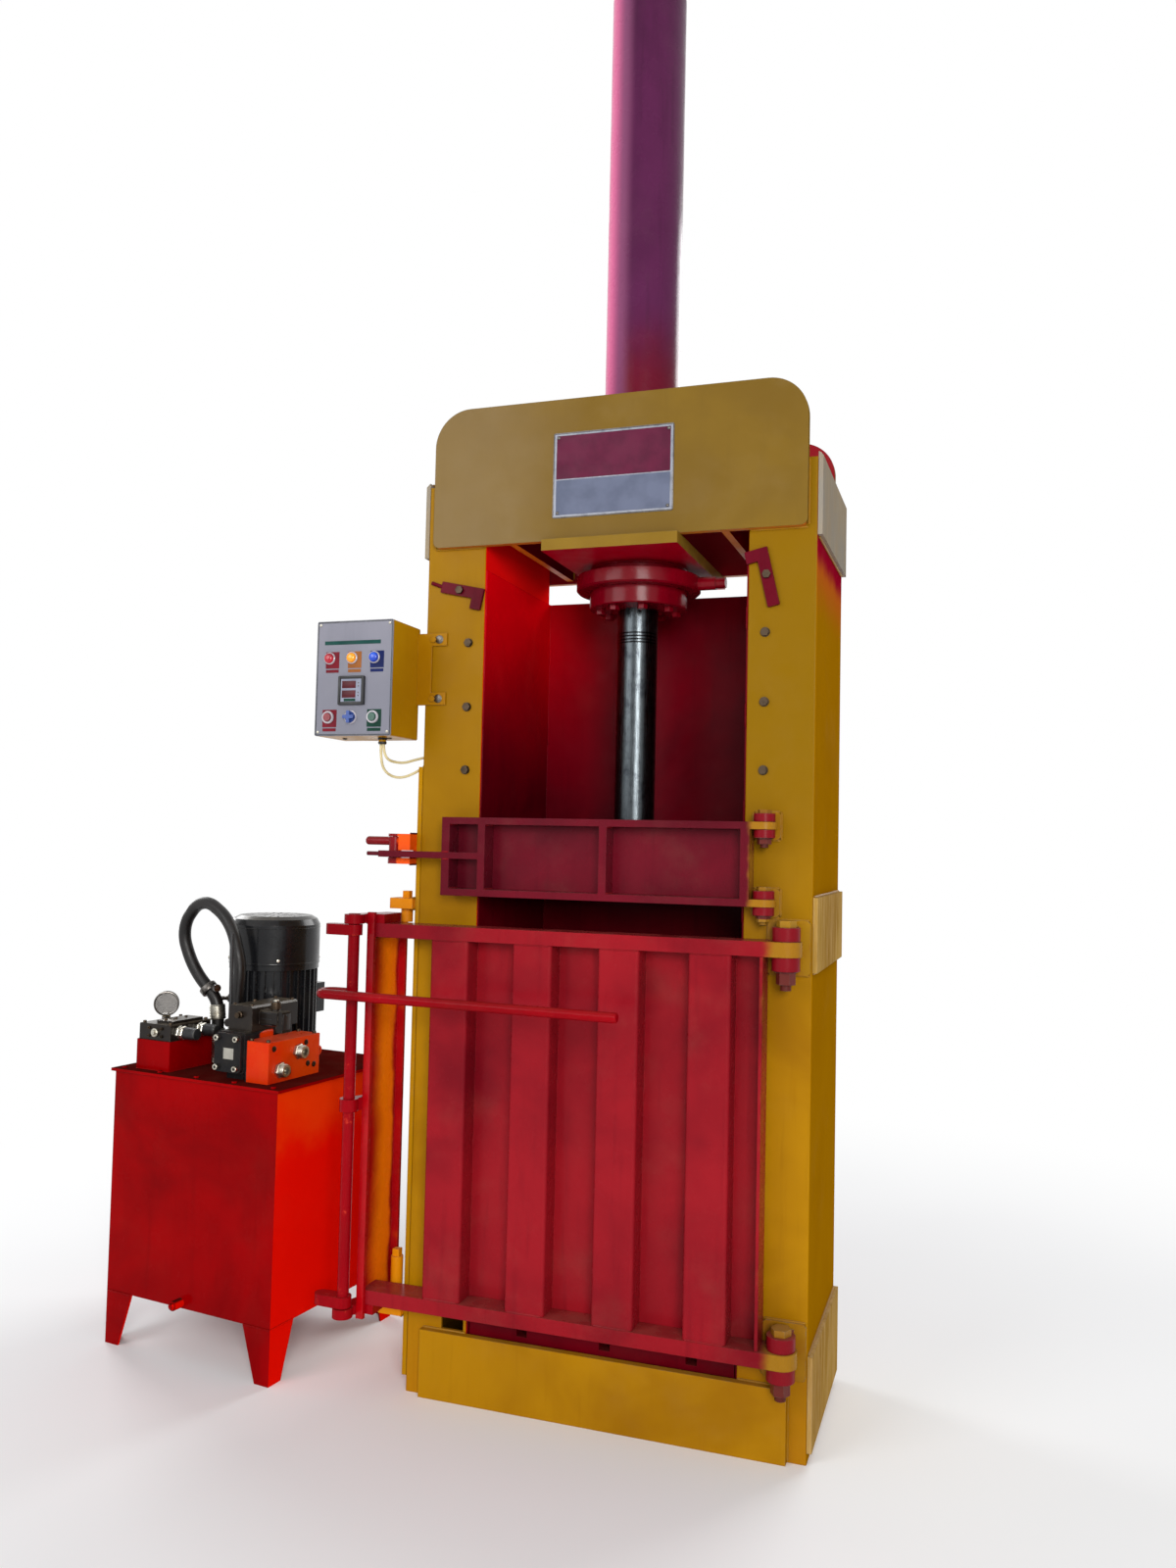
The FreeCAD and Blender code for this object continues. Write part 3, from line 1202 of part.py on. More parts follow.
# ---------------------------------------------------------------- power pack
def leg(x, y, toward_x, toward_y):
    """Tapered angle leg with its corner at (x, y), opening inwards."""
    plates = []
    for across in (True, False):
        if across:
            outline = [(x, 0.0), (x + toward_x * LEG_FOOT_W, 0.0), (x + toward_x * LEG_TOP_W, TANK_BOTTOM),
                       (x, TANK_BOTTOM)]
            plates.append(front_plate(outline, y, y + toward_y * LEG_T))
        else:
            corners = [V(x, y, 0.0), V(x, y + toward_y * LEG_FOOT_W, 0.0),
                       V(x, y + toward_y * LEG_TOP_W, TANK_BOTTOM), V(x, y, TANK_BOTTOM)]
            face = Part.Face(Part.makePolygon(corners + corners[:1]))
            plates.append(face.extrude(V(toward_x * LEG_T, 0, 0)))
    return plates


def oil_tank():
    """Welded oil tank, open under its lid, with a drain stub low on its front."""
    body = block((-TANK_W, 0.0), (0.0, TANK_D), (TANK_BOTTOM, TANK_TOP))
    wall = TANK_WALL
    inside = block((-TANK_W + wall, -wall), (wall, TANK_D - wall), (TANK_BOTTOM + wall, TANK_TOP + 1.0))
    drain = rod((DRAIN_X, 2.0, DRAIN_Z), (DRAIN_X, -DRAIN_L, DRAIN_Z), DRAIN_R)
    return fuse([body.cut(inside), drain])


def tank_legs():
    """Four tapered angle legs under the tank's corners."""
    legs = []
    for x, toward_x in ((-TANK_W, 1.0), (0.0, -1.0)):
        for y, toward_y in ((0.0, 1.0), (TANK_D, -1.0)):
            legs.append(fuse(leg(x, y, toward_x, toward_y)))
    return group(legs)


def tank_lid():
    """Tank lid with the welded riser block that carries the left valve."""
    top = LID_TOP
    lid = block((-TANK_W - LID_LIP, LID_LIP), (-LID_LIP, TANK_D + LID_LIP), (TANK_TOP, top))
    lid = lid.cut(upright(MOTOR_X, MOTOR_Y, TANK_TOP - 1.0, top + 1.0, BELL_R + 0.5))
    riser = block(RISER_X, RISER_Y, (top, top + RISER_H))
    return fuse([lid, riser])


def around(shape, turn):
    """Copy of a piece made on the Z axis, turned and set on the motor's axis."""
    copy = shape.copy()
    copy.rotate(V(0, 0, 0), V(0, 0, 1), turn)
    copy.translate(V(MOTOR_X, MOTOR_Y, 0))
    return copy


def motor_body():
    """Finned motor with its foot flange, end shield and terminal box."""
    z0 = LID_TOP
    z1 = z0 + MOTOR_FLANGE_H
    top = z0 + MOTOR_BODY_H
    pieces = [upright(MOTOR_X, MOTOR_Y, z0, z1, MOTOR_FLANGE_R)]
    shield = Part.makeCone(MOTOR_FLANGE_R - 26.0, MOTOR_CORE_R, MOTOR_SHIELD_H, V(MOTOR_X, MOTOR_Y, z1))
    pieces.append(shield)
    core = z1 + MOTOR_SHIELD_H
    pieces.append(upright(MOTOR_X, MOTOR_Y, core, top, MOTOR_CORE_R))
    fin = block((MOTOR_CORE_R - 2.0, MOTOR_FIN_R), (-MOTOR_FIN_T / 2.0, MOTOR_FIN_T / 2.0),
                (core, top - 2.0))
    pieces += [around(fin, 360.0 * (i + 0.5) / MOTOR_FIN_COUNT) for i in range(MOTOR_FIN_COUNT)]
    middle = (core + top) / 2.0
    pieces.append(block((MOTOR_X - 55.0, MOTOR_X + 55.0), (MOTOR_Y + 90.0, MOTOR_Y + MOTOR_FIN_R + 46.0),
                        (middle - 45.0, middle + 45.0)))
    seat = COWL_R - COWL_WALL / 2.0
    pieces.append(upright(MOTOR_X, MOTOR_Y, top - COWL_SEAT_H, top, seat))
    stub_top = top + COWL_WALL
    pieces.append(upright(MOTOR_X, MOTOR_Y, top, stub_top, MOTOR_SHAFT_R + 12.0))
    bore = upright(MOTOR_X, MOTOR_Y, top - 40.0, stub_top + 1.0, MOTOR_SHAFT_R + RUNNING_FIT)
    return fuse(pieces).cut(bore)


def motor_cowl():
    """Turned fan cowl with a bevelled crown and a ring grille of radial air slots."""
    z0 = LID_TOP + MOTOR_BODY_H
    z1 = z0 + COWL_H
    wall = COWL_WALL
    crown = COWL_CROWN
    bulge = 0.35 * crown
    outer = [(COWL_R, z0), (COWL_R, z1 - crown), (COWL_R - bulge, z1 - bulge), (COWL_R - crown, z1)]
    inner = [(COWL_R - crown, z1 - wall), (COWL_R - bulge - wall, z1 - bulge - 0.5 * wall),
             (COWL_R - wall, z1 - crown), (COWL_R - wall, z0)]
    shape = revolve(outer + [(0.0, z1), (0.0, z1 - wall)] + inner, MOTOR_X, MOTOR_Y)
    slots = []
    for ring in range(COWL_SLOT_RINGS):
        near = COWL_SLOT_START + ring * COWL_SLOT_PITCH
        count = COWL_SLOT_COUNT * (ring + 1)
        slot = block((near, near + COWL_SLOT_L), (-COWL_SLOT_W / 2.0, COWL_SLOT_W / 2.0),
                     (z1 - wall - 1.0, z1 + 1.0))
        for i in range(count):
            slots.append(around(slot, 360.0 * i / count))
    return shape.cut(Part.makeCompound(slots))


def motor_fan():
    """Radial fan on the end of the motor shaft, under the cowl."""
    z0 = LID_TOP + MOTOR_BODY_H
    low = z0 + 24.0
    pieces = [upright(MOTOR_X, MOTOR_Y, z0 - 36.0, low + FAN_H, MOTOR_SHAFT_R),
              upright(MOTOR_X, MOTOR_Y, low, low + FAN_H, FAN_HUB_R),
              upright(MOTOR_X, MOTOR_Y, low, low + FAN_BLADE_T, FAN_R)]
    blade = block((FAN_HUB_R - 2.0, FAN_R), (-FAN_BLADE_T / 2.0, FAN_BLADE_T / 2.0), (low, low + FAN_H))
    pieces += [around(blade, 360.0 * i / FAN_BLADE_COUNT) for i in range(FAN_BLADE_COUNT)]
    return fuse(pieces)


def tank_pump():
    """Bell housing and pump that hang from the lid inside the tank."""
    top = LID_TOP
    bell = upright(MOTOR_X, MOTOR_Y, TANK_TOP - BELL_H, top, BELL_R)
    pump = upright(MOTOR_X, MOTOR_Y, TANK_TOP - BELL_H - PUMP_L, TANK_TOP - BELL_H, PUMP_R)
    return fuse([bell, pump])


def left_valve():
    """Hand valve body on the riser block."""
    z0 = LID_TOP + RISER_H
    x = (RISER_X[0] + VALVE_INSET, RISER_X[1] - VALVE_INSET)
    y = (RISER_Y[0] + VALVE_INSET, RISER_Y[1] - VALVE_INSET)
    body = block(x, y, (z0, z0 + VALVE_H))
    body = body.makeChamfer(3.0, edges_along(body, V(0, 1, 0), lambda e: e.CenterOfMass.z > z0 + 1.0))
    ridge = block((x[0] + 46.0, x[1] - 12.0), (y[0] + 20.0, y[1] - 20.0), (z0 + VALVE_H, z0 + VALVE_H + 8.0))
    return fuse([body, ridge])


def dial_frame():
    """Unit vectors of the gauge: across its dial and out of its face."""
    a = math.radians(GAUGE_TURN)
    return V(math.cos(a), math.sin(a), 0), V(math.sin(a), -math.cos(a), 0)


def gauge_case():
    """Pressure gauge case with a recessed dial, on a stem from the valve."""
    across, out = dial_frame()
    centre = V(GAUGE_X, GAUGE_Y, GAUGE_Z)
    back = centre - out * (GAUGE_DEPTH / 2.0)
    case = Part.makeCylinder(GAUGE_R, GAUGE_DEPTH, back, out)
    front = centre + out * (GAUGE_DEPTH / 2.0)
    well = Part.makeCylinder(GAUGE_R - 3.0, 7.0, front - out * 6.0, out)
    case = case.cut(well)
    z0 = LID_TOP + RISER_H + VALVE_H
    stem = upright(GAUGE_X, GAUGE_Y, z0, GAUGE_Z - GAUGE_R + 3.0, 8.0)
    nut = hexagon(GAUGE_X, GAUGE_Y, z0, z0 + 8.0, 22.0)
    hub = Part.makeCylinder(1.5, 4.0, front - out * 7.0, out)
    return fuse([case, stem, nut, hub])


def gauge_needle():
    """Needle on the gauge's hub."""
    across, out = dial_frame()
    front = V(GAUGE_X, GAUGE_Y, GAUGE_Z) + out * (GAUGE_DEPTH / 2.0)
    base = front - out * 4.6
    hub = Part.makeCylinder(NEEDLE_HUB_R, 2.6, base, out)
    a = math.radians(NEEDLE_ANGLE)
    reach = across * math.cos(a) + V(0, 0, 1) * math.sin(a)
    side = across * (-math.sin(a)) + V(0, 0, 1) * math.cos(a)
    corners = [base - reach * 10.0 - side * 2.2, base + reach * NEEDLE_L - side * 0.7,
               base + reach * NEEDLE_L + side * 0.7, base - reach * 10.0 + side * 2.2]
    blade = Part.Face(Part.makePolygon(corners + corners[:1])).extrude(out * 1.2)
    shape = fuse([hub, blade])
    return shape.cut(Part.makeCylinder(1.5 + RUNNING_FIT, 6.0, base - out * 1.0, out))


def pipe_fittings():
    """Open hose fittings of the left valve and the manifold, and the hose's two ferrules."""
    pieces = []
    valve_z = LID_TOP + RISER_H + VALVE_H / 2.0
    right = RISER_X[1] - VALVE_INSET
    for y in FITTING_Y:
        collar = rod((right, y, valve_z), (right + FITTING_COLLAR, y, valve_z), FITTING_R)
        cap = rod((right + FITTING_COLLAR, y, valve_z), (right + FITTING_COLLAR + FITTING_CAP, y, valve_z),
                  FITTING_CAP_R)
        pieces.append(fuse([collar, cap]))
    top = LID_TOP
    face = MANIFOLD_X[1]
    for y, z in ((MANIFOLD_Y[0] + 44.0, top + 34.0), (MANIFOLD_Y[0] + 120.0, top + 74.0)):
        fitting = rod((face, y, z), (face + PORT_FIT_L, y, z), PORT_FIT_R)
        pieces.append(fitting.cut(rod((face + 4.0, y, z), (face + PORT_FIT_L + 1.0, y, z), PORT_FIT_BORE)))
    return pieces


def hose_ferrules():
    """Pressed ferrules and stubs that take the suction hose on the tank lid."""
    pieces = []
    top = LID_TOP
    for x, y, z in (HOSE_ROUTE[0], HOSE_ROUTE[-1]):
        foot = upright(x, y, top, top + FERRULE_FOOT_H, FERRULE_R + 4.0)
        nut = hexagon(x, y, top + FERRULE_FOOT_H, z - FERRULE_H, 2.0 * FERRULE_R)
        sleeve = upright(x, y, z - FERRULE_H, z, FERRULE_R)
        pieces.append(fuse([foot, nut, sleeve]))
    return pieces


def pump_block():
    """Square pump block with four cap screws on its front cover."""
    x, y, z = BLOCK_X, BLOCK_Y, BLOCK_Z
    body = round_along(block(x, y, z), V(0, 1, 0), 10.0)
    cover = block((x[0] + 3.0, x[1] - 3.0), (y[0] - 14.0, y[0]), (z[0] + 3.0, z[1] - 3.0))
    cover = round_along(cover, V(0, 1, 0), 12.0)
    foot = block((x[0] + 20.0, x[1] - 20.0), (y[0] + 20.0, y[1] - 10.0), (LID_TOP, z[0]))
    pieces = [body, cover, foot]
    for sx in (x[0] + 16.0, x[1] - 16.0):
        for sz in (z[0] + 16.0, z[1] - 16.0):
            pieces.append(rod((sx, y[0] - 14.0, sz), (sx, y[0] - 24.0, sz), BLOCK_BOLT_R))
    return fuse(pieces)


def manifold():
    """Red manifold block with a ring lug on its back."""
    top = LID_TOP
    body = block(MANIFOLD_X, MANIFOLD_Y, (top, top + MANIFOLD_H))
    z = top + 60.0
    y = MANIFOLD_Y[1]
    x = MANIFOLD_X[1] - 20.0
    lug = rod((x, y + RING_R - 4.0, z), (x + RING_T, y + RING_R - 4.0, z), RING_R)
    hole = rod((x - 1.0, y + RING_R - 4.0, z), (x + RING_T + 1.0, y + RING_R - 4.0, z), RING_BORE_R)
    lug = lug.cut(hole).cut(block(MANIFOLD_X, MANIFOLD_Y, (top, top + MANIFOLD_H)))
    return fuse([body, lug])


def valve_stack():
    """Valve on the pump block with a solenoid coil, its plug and a knurled screw."""
    z0 = BLOCK_Z[1]
    body = block(STACK_X, STACK_Y, (z0, z0 + STACK_H))
    body = body.makeChamfer(6.0, edges_along(body, V(0, 1, 0), lambda e: e.CenterOfMass.z > z0 + 1.0))
    end_x = STACK_X[1]
    coil_z = z0 + 14.0
    y = STACK_Y[0] + 50.0
    coil = block((end_x, end_x + COIL_L), (y - COIL_W / 2.0, y + COIL_W / 2.0), (coil_z, coil_z + COIL_W))
    coil = round_along(coil, V(1, 0, 0), 8.0)
    plug = block((end_x + COIL_L - 6.0, end_x + COIL_L + 16.0), (y - PLUG_W / 2.0, y + PLUG_W / 2.0),
                 (coil_z + COIL_W - PLUG_H, coil_z + COIL_W))
    knurl = upright(end_x + COIL_L - 22.0, y, coil_z + COIL_W - 1.0, coil_z + COIL_W + KNURL_H, KNURL_R)
    post = block((STACK_X[0] + 10.0, STACK_X[1] - 10.0), (BLOCK_Y[1] + 6.0, STACK_Y[1] - 10.0),
                 (LID_TOP, z0))
    return fuse([body, coil, plug, knurl, post])


def lever_pivot():
    """Ears on the valve stack that hold the hand lever's pin."""
    x, y = LEVER_X, LEVER_Y
    z = LEVER_Z[0]
    half = LEVER_R + FACE_GAP
    pieces = []
    for side in (-1.0, 1.0):
        ear = rod((x, y + side * half, z), (x, y + side * (half + 6.0), z), LEVER_EYE_R - 3.0)
        neck_y = tuple(sorted((y + side * half, y + side * (half + 6.0))))
        neck = block((x, STACK_X[0]), neck_y, (z - 8.0, z + 8.0))
        pieces += [ear, neck]
    pin = rod((x, y - half - 6.0, z), (x, y + half + 6.0, z), 4.0)
    return fuse(pieces + [pin])


def hand_lever():
    """Long thin hand lever of the valve."""
    x, y = LEVER_X, LEVER_Y
    z0, z1 = LEVER_Z
    eye = rod((x, y - LEVER_R, z0), (x, y + LEVER_R, z0), LEVER_EYE_R - 2.0)
    stick = rod((x, y, z0 + 6.0), (x - 4.0, y, z1), LEVER_R - 1.0)
    shape = fuse([eye, stick])
    return shape.cut(rod((x, y - LEVER_R - 1.0, z0), (x, y + LEVER_R + 1.0, z0), 4.0 + RUNNING_FIT))


# ---------------------------------------------------------------- build
def main():
    os.makedirs("parts", exist_ok=True)
    save("left_column", column(-1.0))
    save("right_column", column(1.0))
    save("head_front_plate", head_plate(True))
    save("head_back_plate", head_plate(False))
    save("head_webs", head_webs())
    save("cylinder_mount_plate", mount_plate())
    save("side_plates", side_plates())
    save("sill_plates", sill_plates())
    save("base_frame", base_frame())
    save("chamber_floor", chamber_floor())
    save("chamber_walls", chamber_walls())
    save("column_bolts", group(column_bolts() + catch_bolts()))
    save("left_catch", catch(CATCH_LEFT, CATCH_LEFT_TAIL, CATCH_LEFT_TURN, 1.0))
    save("right_catch", catch(CATCH_RIGHT, CATCH_RIGHT_TAIL, CATCH_RIGHT_TURN, -1.0))
    save("name_plate", name_plate())
    brackets, pins = hinge_sets()
    save("hinge_brackets", brackets)
    save("hinge_pins", pins)
    save("bale_door_bars", bale_bars())
    save("bale_door_panel", bale_panel())
    save("bale_door_end_channel", end_channel())
    save("lock_arms", lock_arms())
    save("lock_shaft", lock_shaft())
    save("lock_handle", lock_handle())
    save("lock_keepers", lock_keepers())
    save("feed_door_frame", feed_frame())
    save("feed_door_sheet", feed_sheet())
    save("latch_bracket", latch_bracket())
    save("latch_hook", latch_hook())
    save("cylinder_tube", cylinder_tube())
    save("cylinder_flange", cylinder_flange())
    save("rod_gland", rod_gland())
    save("gland_bolts", gland_bolts())
    save("ram_rod", ram_rod())
    save("ram_piston", ram_piston())
    save("ram_platen", ram_platen())
    save("control_box", control_box())
    save("control_panel", control_panel())
    save("pilot_lamps", pilot_lamps())
    save("panel_meter", panel_meter())
    save("stop_button", push_button(LAMP_X[0]))
    save("start_button", push_button(LAMP_X[2]))
    save("selector_knob", selector_knob())
    save("box_bracket", group([box_bracket()] + cable_entries()))
    save("upper_cable", cable(UPPER_CABLE))
    save("lower_cable", cable(LOWER_CABLE))
    save("oil_tank", in_pack(oil_tank()))
    save("tank_legs", in_pack(tank_legs()))
    save("tank_lid", in_pack(tank_lid()))
    save("tank_pump", in_pack(tank_pump()))
    save("motor_body", in_pack(motor_body()))
    save("motor_cowl", in_pack(motor_cowl()))
    save("motor_fan", in_pack(motor_fan()))
    save("left_valve", in_pack(left_valve()))
    save("pressure_gauge", in_pack(gauge_case()))
    save("gauge_needle", in_pack(gauge_needle()))
    save("pipe_fittings", in_pack(group(pipe_fittings() + hose_ferrules())))
    save("suction_hose", in_pack(tube(HOSE_ROUTE, HOSE_R)))
    save("valve_stack", in_pack(fuse([valve_stack(), lever_pivot()])))
    save("pump_block", in_pack(group([pump_block(), manifold()])))
    save("hand_lever", in_pack(hand_lever()))


main()
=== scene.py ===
import random
from math import cos, pi, radians, sin, sqrt

import bmesh
import bpy
from mathutils import Matrix, Vector


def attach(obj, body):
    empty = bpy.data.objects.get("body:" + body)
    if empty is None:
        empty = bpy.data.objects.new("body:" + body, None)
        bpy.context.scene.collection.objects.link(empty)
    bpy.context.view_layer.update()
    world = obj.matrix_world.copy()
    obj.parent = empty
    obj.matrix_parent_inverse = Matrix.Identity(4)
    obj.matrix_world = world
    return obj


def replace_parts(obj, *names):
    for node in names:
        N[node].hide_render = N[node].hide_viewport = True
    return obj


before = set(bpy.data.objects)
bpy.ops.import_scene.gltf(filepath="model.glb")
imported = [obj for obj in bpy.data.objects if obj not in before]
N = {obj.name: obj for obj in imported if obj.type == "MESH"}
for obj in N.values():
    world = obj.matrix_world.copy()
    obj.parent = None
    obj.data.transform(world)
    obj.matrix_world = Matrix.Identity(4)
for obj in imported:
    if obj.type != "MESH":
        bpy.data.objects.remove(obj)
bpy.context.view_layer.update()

SCENE = bpy.context.scene
MM = 0.001
SHARP_ANGLE = radians(35)  # edges below it are shaded smooth
BACKDROP = 1.0  # brightness of the plain surroundings as seen, where 1 is white
PACK = Matrix.Translation((-0.863, -0.360, 0)) @ Matrix.Rotation(radians(-7.25), 4, "Z")
FRONT, RIGHT, DOWN = (0, -1, 0), (1, 0, 0), (0, 0, -1)


# ---------- colours and node helper
def srgb(r, g, b):
    """Linear colour from 0 to 255 values as seen on a screen."""
    def lin(c):
        c /= 255.0
        return c / 12.92 if c <= 0.04045 else ((c + 0.055) / 1.055) ** 2.4
    return (lin(r), lin(g), lin(b), 1.0)


class Graph:
    """Small helper that builds a node material."""

    def __init__(self, name):
        self.mat = bpy.data.materials.new(name)
        self.mat.use_nodes = True
        self.tree = self.mat.node_tree
        self.tree.nodes.clear()
        self.out = self.add("ShaderNodeOutputMaterial")
        self.coord = self.add("ShaderNodeTexCoord").outputs["Object"]

    def add(self, kind, **props):
        node = self.tree.nodes.new(kind)
        for key, value in props.items():
            setattr(node, key, value)
        return node

    def put(self, socket, value):
        """Link a socket, or set its plain value."""
        if isinstance(value, bpy.types.NodeSocket):
            self.tree.links.new(value, socket)
        elif value is not None:
            socket.default_value = value

    def fill(self, node, **values):
        """Put values into the node's inputs, with _ for a space in their names."""
        for key, value in values.items():
            self.put(node.inputs[key.replace("_", " ")], value)

    def noise(self, scale, detail=3.0, rough=0.5, stretch=None, warp=0.0):
        place = self.coord
        if stretch:
            mapping = self.add("ShaderNodeMapping")
            self.fill(mapping, Vector=self.coord, Scale=stretch)
            place = mapping.outputs["Vector"]
        node = self.add("ShaderNodeTexNoise")
        self.fill(node, Vector=place, Scale=scale, Detail=detail, Roughness=rough, Distortion=warp)
        return node.outputs["Fac"]

    def ramp(self, value, low, high, a=0.0, b=1.0):
        """a below low and b above high, with a smooth step between."""
        node = self.add("ShaderNodeMapRange", interpolation_type="SMOOTHSTEP")
        self.fill(node, Value=value, From_Min=low, From_Max=high, To_Min=a, To_Max=b)
        return node.outputs["Result"]

    def math(self, operation, a, b=None):
        node = self.add("ShaderNodeMath", operation=operation)
        self.put(node.inputs[0], a)
        self.put(node.inputs[1], b)
        return node.outputs[0]

    def product(self, first, *others):
        for other in others:
            first = self.math("MULTIPLY", first, other)
        return first

    def drift(self, value, scale, amount, detail=4.0, rough=0.5, stretch=None):
        """A value that noise moves a little, for ragged borders."""
        return self.math("ADD", value, self.product(self.noise(scale, detail, rough, stretch), amount))

    def mix(self, factor, a, b):
        node = self.add("ShaderNodeMix", data_type="RGBA")
        for index, value in ((0, factor), (6, a), (7, b)):
            self.put(node.inputs[index], value)
        return node.outputs[2]

    def part(self, vector, index):
        node = self.add("ShaderNodeSeparateXYZ")
        self.put(node.inputs[0], vector)
        return node.outputs[index]

    def axis(self, index):
        return self.part(self.coord, index)

    def normal(self, index):
        return self.part(self.add("ShaderNodeNewGeometry").outputs["Normal"], index)

    def facing(self, index):
        """How much a face looks along an axis, whichever way."""
        return self.math("ABSOLUTE", self.normal(index))

    def edges(self, radius):
        """Nearly 1 on outer edges, from a bevelled normal."""
        bevel = self.add("ShaderNodeBevel", samples=4)
        bevel.inputs["Radius"].default_value = radius
        dot = self.add("ShaderNodeVectorMath", operation="DOT_PRODUCT")
        self.soft = bevel.outputs["Normal"]
        self.put(dot.inputs[0], self.soft)
        self.put(dot.inputs[1], self.add("ShaderNodeNewGeometry").outputs["Normal"])
        return self.ramp(dot.outputs["Value"], 0.995, 0.80)

    def bump(self, height, strength, distance, normal=None):
        node = self.add("ShaderNodeBump")
        self.fill(node, Height=height, Strength=strength, Distance=distance, Normal=normal)
        return node.outputs["Normal"]

    def shader(self, color, rough, metallic=0.0, normal=None, **extra):
        node = self.add("ShaderNodeBsdfPrincipled")
        self.fill(node, Base_Color=color, Roughness=rough, Metallic=metallic, Normal=normal, **extra)
        return self.finish(node)

    def blended(self, factor, first, second):
        """Surface that goes from one shader node to another."""
        pick = self.add("ShaderNodeMixShader")
        for index, value in enumerate((factor, first.outputs[0], second.outputs[0])):
            self.put(pick.inputs[index], value)
        return self.finish(pick)

    def finish(self, node):
        self.put(self.out.inputs["Surface"], node.outputs[0])
        return self.mat


# ---------- kinds of finish
DUST = (190, 172, 142)
SOOT = (8, 7, 7)
EDGE_WIDTH = 0.0025


def paint(name, base, deep, worn, rough, coat, dust, wear=0.5, gleam=0.15, sides=None, blend=(),
          under=None, inside=None):
    """Brushed gloss paint: cloudy tone, runs, orange peel, dusty tops and worn edges.

    blend lists (colour, mask maker) pairs for overspray of other paints and for painted light and shade,
    under is a second colour for faces that look down, and inside is (colour, axis, half width) for the faces
    between the plates. gleam is the paint's reflection level and sides that of its duller sides and tops."""
    g = Graph(name)
    cloud = g.noise(2.2, 4.0, 0.55, warp=0.4)
    blotch = g.noise(14.0, 5.0, 0.6)
    runs = g.noise(9.0, 3.0, 0.6, stretch=(5.0, 5.0, 0.35))
    color = g.mix(g.ramp(cloud, 0.35, 0.7), srgb(*base), srgb(*deep))
    color = g.mix(g.ramp(runs, 0.52, 0.75, 0.0, 0.35), color, srgb(*deep))
    for overspray, mask in blend:
        color = g.mix(mask(g), color, srgb(*overspray))
    if under:
        color = g.mix(g.ramp(g.normal(2), -0.5, -0.8), color, srgb(*under))
    if inside:
        shade, axis, half = inside
        within = g.ramp(g.math("ABSOLUTE", g.axis(axis)), half + 0.0005, half - 0.0005)
        color = g.mix(within, color, srgb(*shade))
    edge = g.product(g.edges(EDGE_WIDTH), g.ramp(g.noise(60.0, 4.0, 0.7), 0.42, 0.62, 0.0, wear))
    color = g.mix(edge, color, srgb(*worn))
    top = g.product(g.ramp(g.normal(2), 0.35, 0.95), g.ramp(blotch, 0.35, 0.7, 0.35 * dust, dust))
    film = g.product(g.ramp(g.noise(5.0, 6.0, 0.65), 0.5, 0.8), 0.35 * dust)
    color = g.mix(g.math("MAXIMUM", top, film), color, srgb(*DUST))
    fine = g.noise(420.0, 2.0, 0.5)
    wave = g.noise(22.0, 2.0, 0.5)
    normal = g.bump(fine, 0.10, 0.0006, g.bump(wave, 0.16, 0.004, g.soft))
    gloss = g.math("ADD", g.ramp(blotch, 0.3, 0.75, rough - 0.06, rough + 0.12), g.product(top, 0.3))
    if sides is not None:
        gleam = g.ramp(g.math("MAXIMUM", g.facing(0), g.normal(2)), 0.3, 0.8, gleam, sides)
    return g.shader(color, gloss, 0.0, normal, Coat_Weight=coat, Coat_Roughness=0.12, Coat_IOR=1.3,
                    Specular_IOR_Level=gleam)


def steel(name, base, dark, rough, scale=(1.0, 1.0, 40.0), marks_in=None):
    """Plated or bare steel with fine tool marks and dull spots; marks_in masks darker rings."""
    g = Graph(name)
    marks = g.noise(30.0, 4.0, 0.6, stretch=scale)
    spots = g.noise(35.0, 5.0, 0.65)
    color = g.mix(g.ramp(spots, 0.45, 0.75), srgb(*base), srgb(*dark))
    if marks_in:
        color = g.mix(marks_in(g), color, srgb(*SOOT))
    gloss = g.ramp(marks, 0.3, 0.7, rough - 0.08, rough + 0.14)
    return g.shader(color, gloss, 1.0, g.bump(marks, 0.12, 0.0004))


def plastic(name, base, deep, rough, gleam=0.5, coat=0.0, grain=300.0):
    """Moulded plastic or rubber with a fine grain."""
    g = Graph(name)
    color = g.mix(g.ramp(g.noise(18.0, 3.0), 0.35, 0.7), srgb(*base), srgb(*deep))
    grit = g.noise(grain, 3.0, 0.6)
    gloss = g.ramp(g.noise(25.0, 3.0), 0.3, 0.7, rough - 0.05, rough + 0.1)
    return g.shader(color, gloss, 0.0, g.bump(grit, 0.18, 0.0004), Coat_Weight=coat,
                    Specular_IOR_Level=gleam)


def clear_glass():
    """Thin clear dial glass: mostly see-through with a faint reflection."""
    g = Graph("dial_glass")
    shine = g.add("ShaderNodeBsdfGlossy")
    g.fill(shine, Roughness=g.ramp(g.noise(60.0, 3.0), 0.3, 0.7, 0.04, 0.12))
    return g.blended(0.07, g.add("ShaderNodeBsdfTransparent"), shine)


# ---------- masks of the paints
def speck(g):
    """Scattered chips."""
    return g.ramp(g.noise(30.0, 5.0, 0.7), 0.62, 0.74)


def border(index, scale, amount, low, high, a=0.0, b=1.0, rough=0.5):
    """Mask maker for a ragged border across an axis."""
    return lambda g: g.ramp(g.drift(g.axis(index), scale, amount, rough=rough), low, high, a, b)


def channel_mask(g):
    """Orange down the middle of the channel, red at its front and back."""
    depth = g.drift(g.axis(1), 7.0, 0.06, 3.0)
    return g.product(g.ramp(depth, -0.282, -0.200), g.ramp(depth, -0.150, -0.172))


